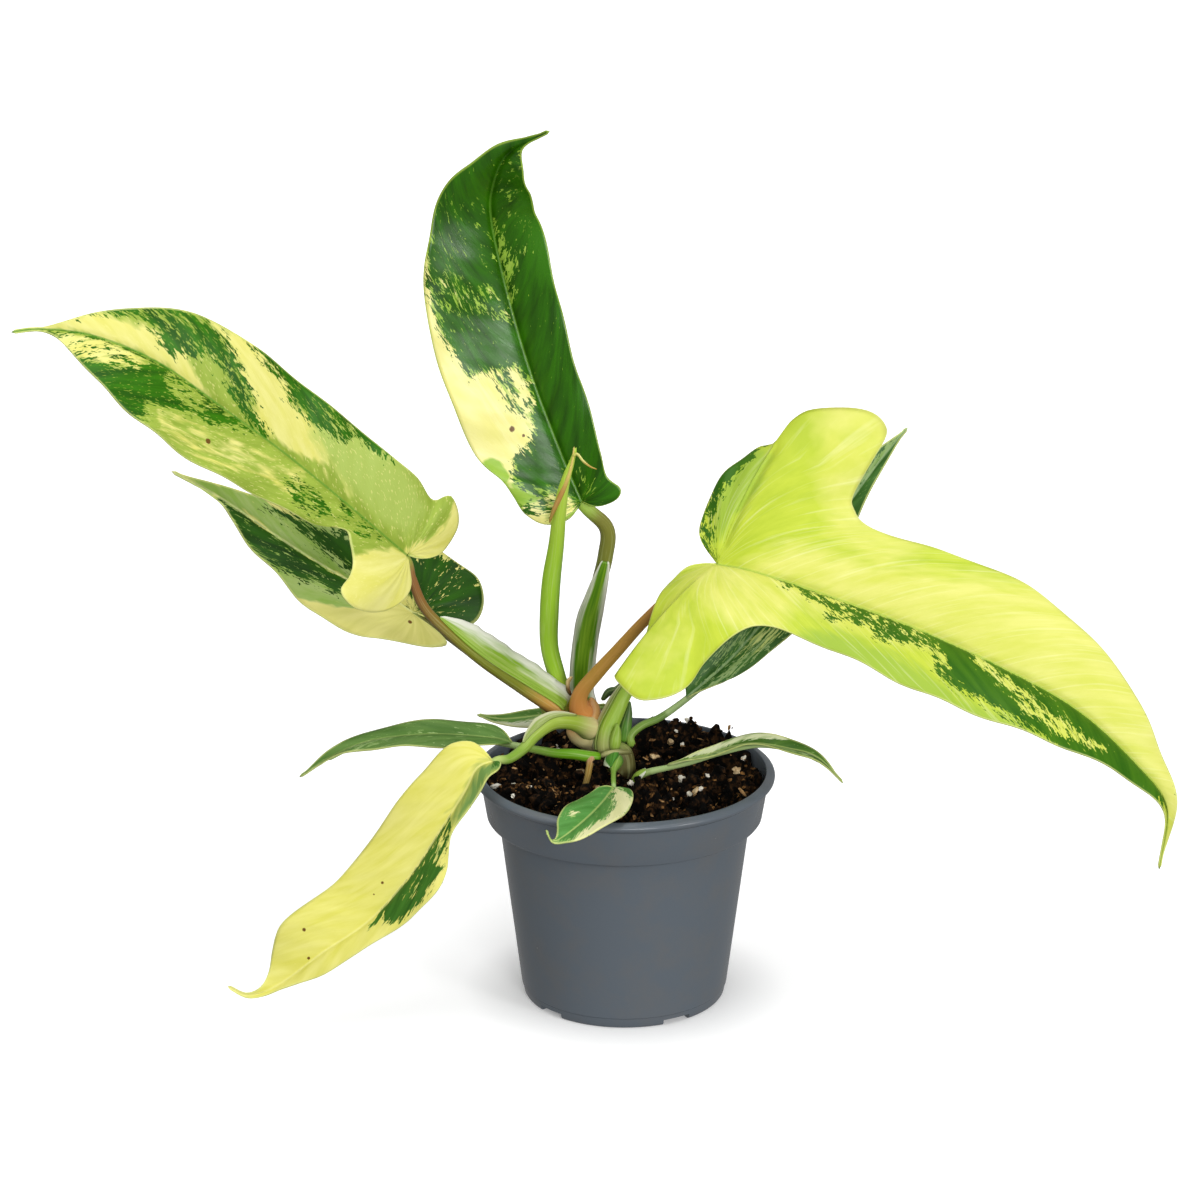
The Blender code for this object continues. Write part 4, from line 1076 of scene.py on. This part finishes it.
# %% Lines of the leaf stalks
STALKS = {  # line, tones from the crown out, tone of the sides with painted shade, way it faces
    "upper_left": (
        [(-25, 16, 108.6, 3.3), (-26.5, 15, 111.5, 3.3), (-28.8, 13.5, 116, 3.2), (-41, 9, 126.5, 2.9),
         (-56.5, 4, 139.5, 2.4), (-70, 0, 153, 2.1), (-79, -2, 164, 2.0), (-83.5, -2.5, 176, 1.8)],
        ("#c8944a", "#7a8022", "#875a30"), "#5e3c1c", (0.45, -0.5, 0.75),
    ),
    "rear_left": (
        [(-28.2, 23.8, 104.6, 2.2), (-31, 27.5, 108.5, 2.2), (-35, 31, 113.5, 2.1),
         (-49.5, 33, 122.5, 2), (-65, 33, 134.5, 1.8), (-77, 34, 143.5, 1.5)],
        ("#8f9c3c", "#6f8a34", "#6d6a30"), "#5a5426", (0, -0.6, 0.8),
    ),
    "top": (
        [(-14.2, 25.6, 107.4, 3.4), (-15.5, 27.6, 111.5, 3.4), (-17.2, 28.5, 118, 3.4),
         (-16.5, 27.5, 131, 3.3), (-14.5, 25.5, 147, 3.2), (-11, 23, 162.5, 3), (-7.6, 20, 178, 3.1),
         (-7.4, 17.5, 190.5, 3)],
        ("#8aa83a", "#6f7c26", "#7a7a32"), "#8f5426", (0, -1, 0.1),
    ),
    "right": (
        [(-15.8, 16, 110.6, 6.9), (-17.4, 13.5, 114.5, 5), (-18.3, 11, 118.5, 3.8),
         (-17, 9, 124.5, 3.1), (-11, 7, 133, 2.8), (-3.5, 5, 142.5, 2.5), (8, 2, 157, 2.2),
         (21.5, -3, 172, 2)],
        ("#cc8648", "#b3883c", "#a3703e"), "#a0602e", (0, -1, 0.2),
    ),
    "rear_right": (
        [(3.2, 11.6, 99.3, 1.7), (2.4, 12.6, 104, 1.7), (7, 15, 107.6, 1.6), (14.5, 18, 110, 1.5)],
        ("#7fa03c", "#6c8c36", "#5f8038"), "#47621c", (0, -0.7, 0.7),
    ),
    "left": (
        [(-9.4, 3, 98.5, 2.3), (-13, 1.2, 99.5, 2.3), (-20, 0.8, 100.8, 2.2), (-27.5, 1.5, 101, 1.9),
         (-36, 3, 102, 1.6)],
        ("#5f9410", "#5f9410", "#6c8a34"), "#36590a", (0, -0.6, 0.8),
    ),
    "hanging": (
        [(-14.5, 17, 105.5, 5.4), (-14.5, 12.5, 107.5, 5), (-17, 8.5, 110.3, 4), (-21, 5, 112.8, 3.2),
         (-25.5, 2, 114.2, 2.9), (-30, -1, 114, 2.7), (-35.5, -6, 111.4, 2.4), (-40, -12, 108.2, 2.2),
         (-45.5, -20, 107, 1.9)],
        ("#d2c18e", "#8fa638", "#7ca03a"), "#647c24", (0, -0.7, 0.7),
    ),
    "rear_small": (
        [(-1, 16.2, 94.5, 1.4), (-1, 21, 103, 1.4), (-2, 31, 109, 1.3), (-4, 38, 108, 1.2)],
        ("#4f6c24", "#4f6c24", "#7c9050"), "#35501a", (0, -0.6, 0.8),
    ),
    "low_right": (
        [(4.3, -2.4, 89.6, 1.5), (5.6, -4, 93, 1.5), (9.5, -5, 95.5, 1.4)],
        ("#8fa04c", "#84984c", "#8aa060"), "#5c7424", (0, -0.6, 0.8),
    ),
    "front": (
        [(-3, 1.5, 99, 3.3), (-3.8, -3, 98.8, 3), (-4.2, -7, 98.4, 2.1), (-4.4, -10.5, 98.2, 1.2),
         (-4.5, -15, 97.9, 1), (-4.5, -20, 97.6, 1)],
        ("#3f7a24", "#749c38", "#749c38"), "#335f1c", (0, -0.4, 0.9),
    ),
    "hidden": (
        [(-6.5, 9, 96, 3.8), (-7.2, 9.6, 102, 4.2), (-6.2, 11, 108, 3.9), (-3.2, 13.5, 114.5, 3.4),
         (0.5, 17, 121, 2.8), (6, 21.5, 128, 2.2)],
        ("#a3a862", "#8cac38", "#7c9c3c"), "#5c7c1c", (0.2, -0.9, 0.3),
    ),
}

# %% The leaf stalks
KEEL = (0, 0.12, 0.3, 0.5, 0.7, 0.85)  # shares of the midrib at which the keel's line has a point
KEEL_RUN = 0.87  # about the keel's length, as a share of the midrib's
for name, (points, tones, under, face) in STALKS.items():
    leaf = LEAVES[name]
    rib = Midrib(leaf["rib"], leaf["face"])
    radius = points[-1][3] * 0.85
    keel = []
    for share in KEEL:
        thick = radius * (1 - 0.85 * share)
        point, _, up, _ = rib.at(share * rib.length)
        keel.append((*(point - up * (thick + 0.35 + 0.4 * (share > 0))), thick))
    stalk = stem_line(points, 200)[1][-1]
    end = stalk / (stalk + KEEL_RUN * rib.length)  # the share of the tube that the stalk has
    look = dict(stops=((0.08 * end, 0.32 * end), (0.5 * end, end), (end, end * 1.1)))
    if name == "right":
        look["fine"] = "#dca468"
    slot = "stalk_orange" if name == "right" else "stalk_green"
    tones = (*tones, leaf["tones"][3])
    stem("stalk_" + name, points + keel, tones, under, slot, ["stalk_" + name], look, face=face)

# %% [markdown]
# A sheath is the winged base of a leaf stalk, which wrapped the younger leaves while they grew. It
# is a trough: thin flaps rise from the two edges of the stalk, green at the root and white and
# translucent at the rim. Its sheet follows the stalk's line and stands off it by a height that
# grows from the tip of the flap down.


# %% Sheath skin
def sheath_skin(name, green, rim):
    """Thin sheath tissue: green with pale lines along it, turning to a dry, papery white rim."""
    made, tree, shader = new_material(name)
    stem = put(tree, "Attribute", attribute_name="stem").outputs["Vector"]
    to_rim = put(tree, "SeparateXYZ", {0: stem}).outputs["Z"]
    lines = put(tree, "Mapping", {"Vector": stem, "Scale": (0.04, 8, 0)})
    rib = put(tree, "TexNoise", {"Vector": lines, "Scale": 1, "Detail": 4})
    edge = put(tree, "Math", {0: to_rim, 1: rib}, operation="ADD")
    share = put(tree, "MapRange", {VALUE: edge, LOW: 0.95, HIGH: 1.35})
    tone = put(tree, "MapRange", {VALUE: rib, LOW: 0.4, HIGH: 0.65})
    skin = cover(tree, colour(green[0]), [(tone, colour(green[1])), (share, colour(rim))])
    relief = put(tree, "Bump", {"Height": rib, "Strength": 0.4, "Distance": 0.3 * MM})
    feed(shader, {"Base Color": skin, "Normal": relief, "Roughness": 0.42, "Specular IOR Level": 0.25})
    return made


pale_sheath = sheath_skin("sheath_pale", ("#7fa32c", "#a4bb5c"), "#d9dbca")
deep_sheath = sheath_skin("sheath_deep", ("#4f7f0c", "#7aa022"), "#dadbc8")
cup_sheath = sheath_skin("sheath_cup", ("#2f6a1c", "#5c9a38"), "#d6dcc0")
beige_sheath = sheath_skin("sheath_beige", ("#869a48", "#a2ad70"), "#bcbd98")


# %% Sheaths
def sheath(name, stalk, span, face, near, far, skin, tip, grow=0.01):
    """The flap between two edges, near and far, each (angle from face about the stalk, height). It
    rises over the share grow of its span from the root, and closes over the share tip."""
    fine, run = stem_line(STALKS[stalk][0], 400)
    along = np.linspace(span[0], span[1], 61) * run[-1]
    line, up, side = stem_frame(fine, run, along, face)
    u = np.linspace(0, 1, len(along))
    closing = np.clip((1 - u) / tip, 0, 1) ** 0.6
    full = closing * (0.8 + 0.2 * np.sin(u * 3)) * np.clip(u / grow, 0, 1) ** 0.8
    ripple = 1 + 0.03 * np.sin(along / 3.1) + 0.02 * np.sin(along / 1.3 + 2)
    middle = (near[0] + far[0]) / 2
    shares = np.linspace(0, 1, 15)
    places = np.zeros((len(along), len(shares), 3))
    on_stem = np.zeros_like(places)
    for column, q in enumerate(shares):
        angle = near[0] + (far[0] - near[0]) * q
        turn = np.radians(middle + (angle - middle) * (0.3 + 0.7 * full))
        rise = near[1] * max(1 - 2.2 * q, 0) ** 1.5 + far[1] * max(2.2 * q - 1.2, 0) ** 1.3
        off = line[:, 3] * 1.04 + 0.2 + rise * full * ripple
        outward = np.cos(turn)[:, None] * up + np.sin(turn)[:, None] * side
        places[:, column] = line[:, :3] + off[:, None] * outward
        rim = max((1 - 2.2 * q) * (near[1] > 0.5), (2.2 * q - 1) / 1.2 * (far[1] > 0.5), 0)
        on_stem[:, column] = np.stack([along, np.full_like(along, q), np.full_like(along, rim)], -1)
    flap = piece(name, cloth_of(places, stem=on_stem), [skin], "stalk_green", sheet=True)
    wall = flap.modifiers.new("thickness", "SOLIDIFY")
    wall.thickness, wall.offset = 0.35 * MM, 0


SHEATHS = (  # stalk, span of its length, face, the two edges, skin, tip and, for some, grow
    ("upper_left", (0.06, 0.78), (0.45, -0.5, 0.75), (-20, 0.1), (62, 8), pale_sheath, 0.25),
    ("top", (0.05, 0.84), (0.1, -1, 0.1), (-85, 1.6), (80, 1.4), deep_sheath, 0.4),
    ("hanging", (0.3, 0.8), (0, -0.7, 0.7), (10, 0.1), (52, 2.8), beige_sheath, 0.4, 0.6),
    ("hidden", (0.1, 0.85), (-0.2, -0.9, 0.2), (-50, 0.2), (-100, 1.6), beige_sheath, 0.4),
    ("front", (0.05, 0.5), (0, -0.4, 0.9), (-20, 0.1), (110, 1.4), cup_sheath, 0.6, 0.1),
    ("low_right", (0.0, 0.95), (0, -0.6, 0.8), (-140, 1.2), (100, 1.2), pale_sheath, 0.8),
)
for stalk, *shape in SHEATHS:
    sheath("sheath_" + stalk, stalk, *shape)

# %% [markdown]
# ## The rolled new leaf
# The youngest leaf stands rolled up in its sheath like a scroll. Its stalk swells, then tapers into
# the roll, whose brown edge winds round it, with a thin curl loose at the tip.

# %% New leaf
SPEAR = [
    (-21.5, 22.8, 107.7, 3), (-22.2, 22.4, 112, 3.1), (-24.5, 21.5, 119, 3.2), (-27.5, 20.5, 128.5, 3.5),
    (-30, 18.5, 140.5, 3.6), (-30, 16, 154.5, 3.8), (-29, 12, 170.5, 3.7), (-27, 6.5, 187, 3.1),
    (-25.5, 0.5, 203.5, 2.6), (-23.5, -3.5, 215.5, 1.9), (-20.5, -5, 225.5, 1), (-19, -5.5, 231, 0.4),
]
EDGE = [
    (-29.6, 0.3, 198, 0.3), (-28.2, -1.6, 203, 0.8), (-26, -3.2, 208.5, 1.1), (-23.8, -4.6, 214, 1),
    (-21.8, -5.8, 220, 0.7), (-20.4, -6.2, 226, 0.5), (-19.8, -6.2, 231.5, 0.3),
]
CURL = [
    (-20.5, -6, 227, 0.7), (-18.6, -6.8, 228.5, 0.9), (-16.5, -7.4, 226, 0.8), (-13.5, -7.6, 223.6, 0.5),
    (-10.8, -7.6, 222.6, 0.2),
]
stem("new_leaf", SPEAR, ("#c9ca54", "#9cc834", "#b0cf46"), "#6a981c", "new_leaf", ["new_leaf_spear"],
     dict(stops=((0, 0.2), (0.5, 0.85))), around=28, face=(-0.8, -0.6, 0))
stem("rolled_edge", EDGE, ("#a8843a", "#b98a48", "#d6c26a"), "#a5823a", "new_leaf", spacing=1, around=8)
stem("tip_curl", CURL, ("#c8cc5e", "#e3dc84", "#c9a24c"), "#b9b44c", "new_leaf",
     spacing=0.8, around=10, oval=0.5)

# %% [markdown]
# ## The two crowns
# Each shoot's crown is a short stem, ringed where old leaves were, with whatever grows there: the
# main one leans and bulges under its stalks, with a crumpled husk and a withered scale beside it;
# the side one has a collar, a green wing, a bud and one brown aerial root that reaches for the
# soil. All are round stems that swell and taper, so one function makes them from a line each.

# %% Crowns
RINGED = dict(gloss=0.5, stops=((0.2, 0.5), (0.7, 0.95)))
LEANING = [
    (-10.5, 20, 86, 3.6), (-10.8, 19.9, 92, 3.8), (-13, 18.8, 98.5, 5), (-15, 17.6, 103.5, 7.4),
    (-16.6, 17.8, 107.5, 7.4), (-17.6, 18, 110.5, 4.5),
]
stem("main_crown", LEANING, ("#5c5a30", "#cbbf88", "#cf9a5a"), "#b09c64", "crown_tissue", ["crown_main"],
     RINGED | dict(stops=((0.2, 0.45), (0.7, 0.95))), around=32, spacing=1)
BASE = [
    (-13.6, 17.2, 107, 5), (-13.4, 17, 111, 4.5), (-13, 16.6, 114.5, 3.3), (-13.2, 16, 117.5, 1.8),
    (-13.6, 15.6, 119.5, 0.5),
]
stem("orange_base", BASE, ("#b8925e", "#b58a52", "#a87c48"), "#8f6636", "stalk_orange",
     look=dict(fine="#cdb082"), spacing=0.7, around=24)
STUB = [(-1.5, 8, 86, 6.2), (-1.5, 8, 91, 6.2), (-1.8, 8, 95, 6), (-2.4, 8, 99, 5.4), (-3, 8.4, 103, 3.6)]
stem("side_crown", STUB, ("#3a2f18", "#5a562a", "#86904c"), "#3f3a1c", "crown_tissue", ["crown_side"],
     RINGED, around=32, spacing=1)

# %% Collar, bud, wing, husk, root and dry scale
SMALL = (  # name, tones from the root out, tone of the sides with painted shade, slot, nodes, look, form, and its line
    ("collar", ("#6b6a3c", "#a3a26c", "#6b6a3c"), "#453e1c", "crown_tissue", [], {},
     dict(spacing=0.8, around=14),
     [(-9.6, 3.5, 98.5, 0.7), (-8.6, 1.2, 100.2, 1), (-6, 0, 101.6, 1.1), (-2.5, -0.4, 102.2, 1.1),
      (0.8, 1, 101.6, 1), (2.6, 3.4, 100.4, 0.6)]),
    ("green_bud", ("#a0b45c", "#88a83a", "#7c9c34"), "#5d8a1c", "stalk_green", ["side_bud"], {},
     dict(spacing=0.7, around=20),
     [(-4.2, 4.6, 100.5, 1.3), (-3.8, 4, 103.5, 2.2), (-3.4, 4.4, 106.5, 2.2), (-3, 5.2, 109.5, 1.5),
      (-2.9, 6, 112, 0.4)]),
    ("green_wing", ("#5d8a2c", "#4f7c2c", "#3c5a24"), "#38521c", "stalk_green", [], {},
     dict(spacing=0.8, around=16),
     [(-0.5, 13, 101, 2), (0.4, 13.8, 107, 2.4), (1.5, 14.6, 113, 1.7), (2.2, 15.4, 118, 0.3)]),
    ("crumpled_husk", ("#3f5426", "#35502a", "#5f7040"), "#263a1a", "stalk_green", [], dict(gloss=0.6),
     dict(spacing=0.7, around=16, oval=0.6),
     [(-9, 21, 116, 1.2), (-6.4, 20.6, 119.6, 2.2), (-3.4, 20.4, 120.6, 2.4), (-1.2, 20.8, 123, 1.6),
      (0.6, 21, 125.4, 0.5)]),
    ("brown_root", ("#b98a70", "#8a6a2a", "#6d5423"), "#5a4218", "dry_tissue", ["aerial_root"],
     dict(gloss=0.7), dict(spacing=0.8, around=14),
     [(-12, 2.5, 101, 1.1), (-13.2, 0.5, 99.6, 1.7), (-14, -3, 97, 1.4), (-14.8, -9, 94.6, 1.3),
      (-15.8, -15, 93, 1.2), (-16.4, -20, 90.5, 0.9)]),
    ("withered_scale", ("#3a2a16", "#6b4526", "#b9a070"), "#4a3018", "dry_tissue", ["dry_scale"],
     dict(gloss=0.6), dict(spacing=0.6, around=14, oval=0.5),
     [(-21.5, 14.5, 120.5, 0.8), (-22.6, 13.4, 124, 1.6), (-22.4, 12.6, 127.5, 1.5),
      (-20.8, 12.4, 129.6, 0.7)]),
)
for name, tones, under, slot, nodes, look, form, line in SMALL:
    stem(name, line, tones, under, slot, nodes, look, **form)

# %% [markdown]
# ## The end
# The view layer is brought up to date once every piece is made.

# %% The end
bpy.context.view_layer.update()
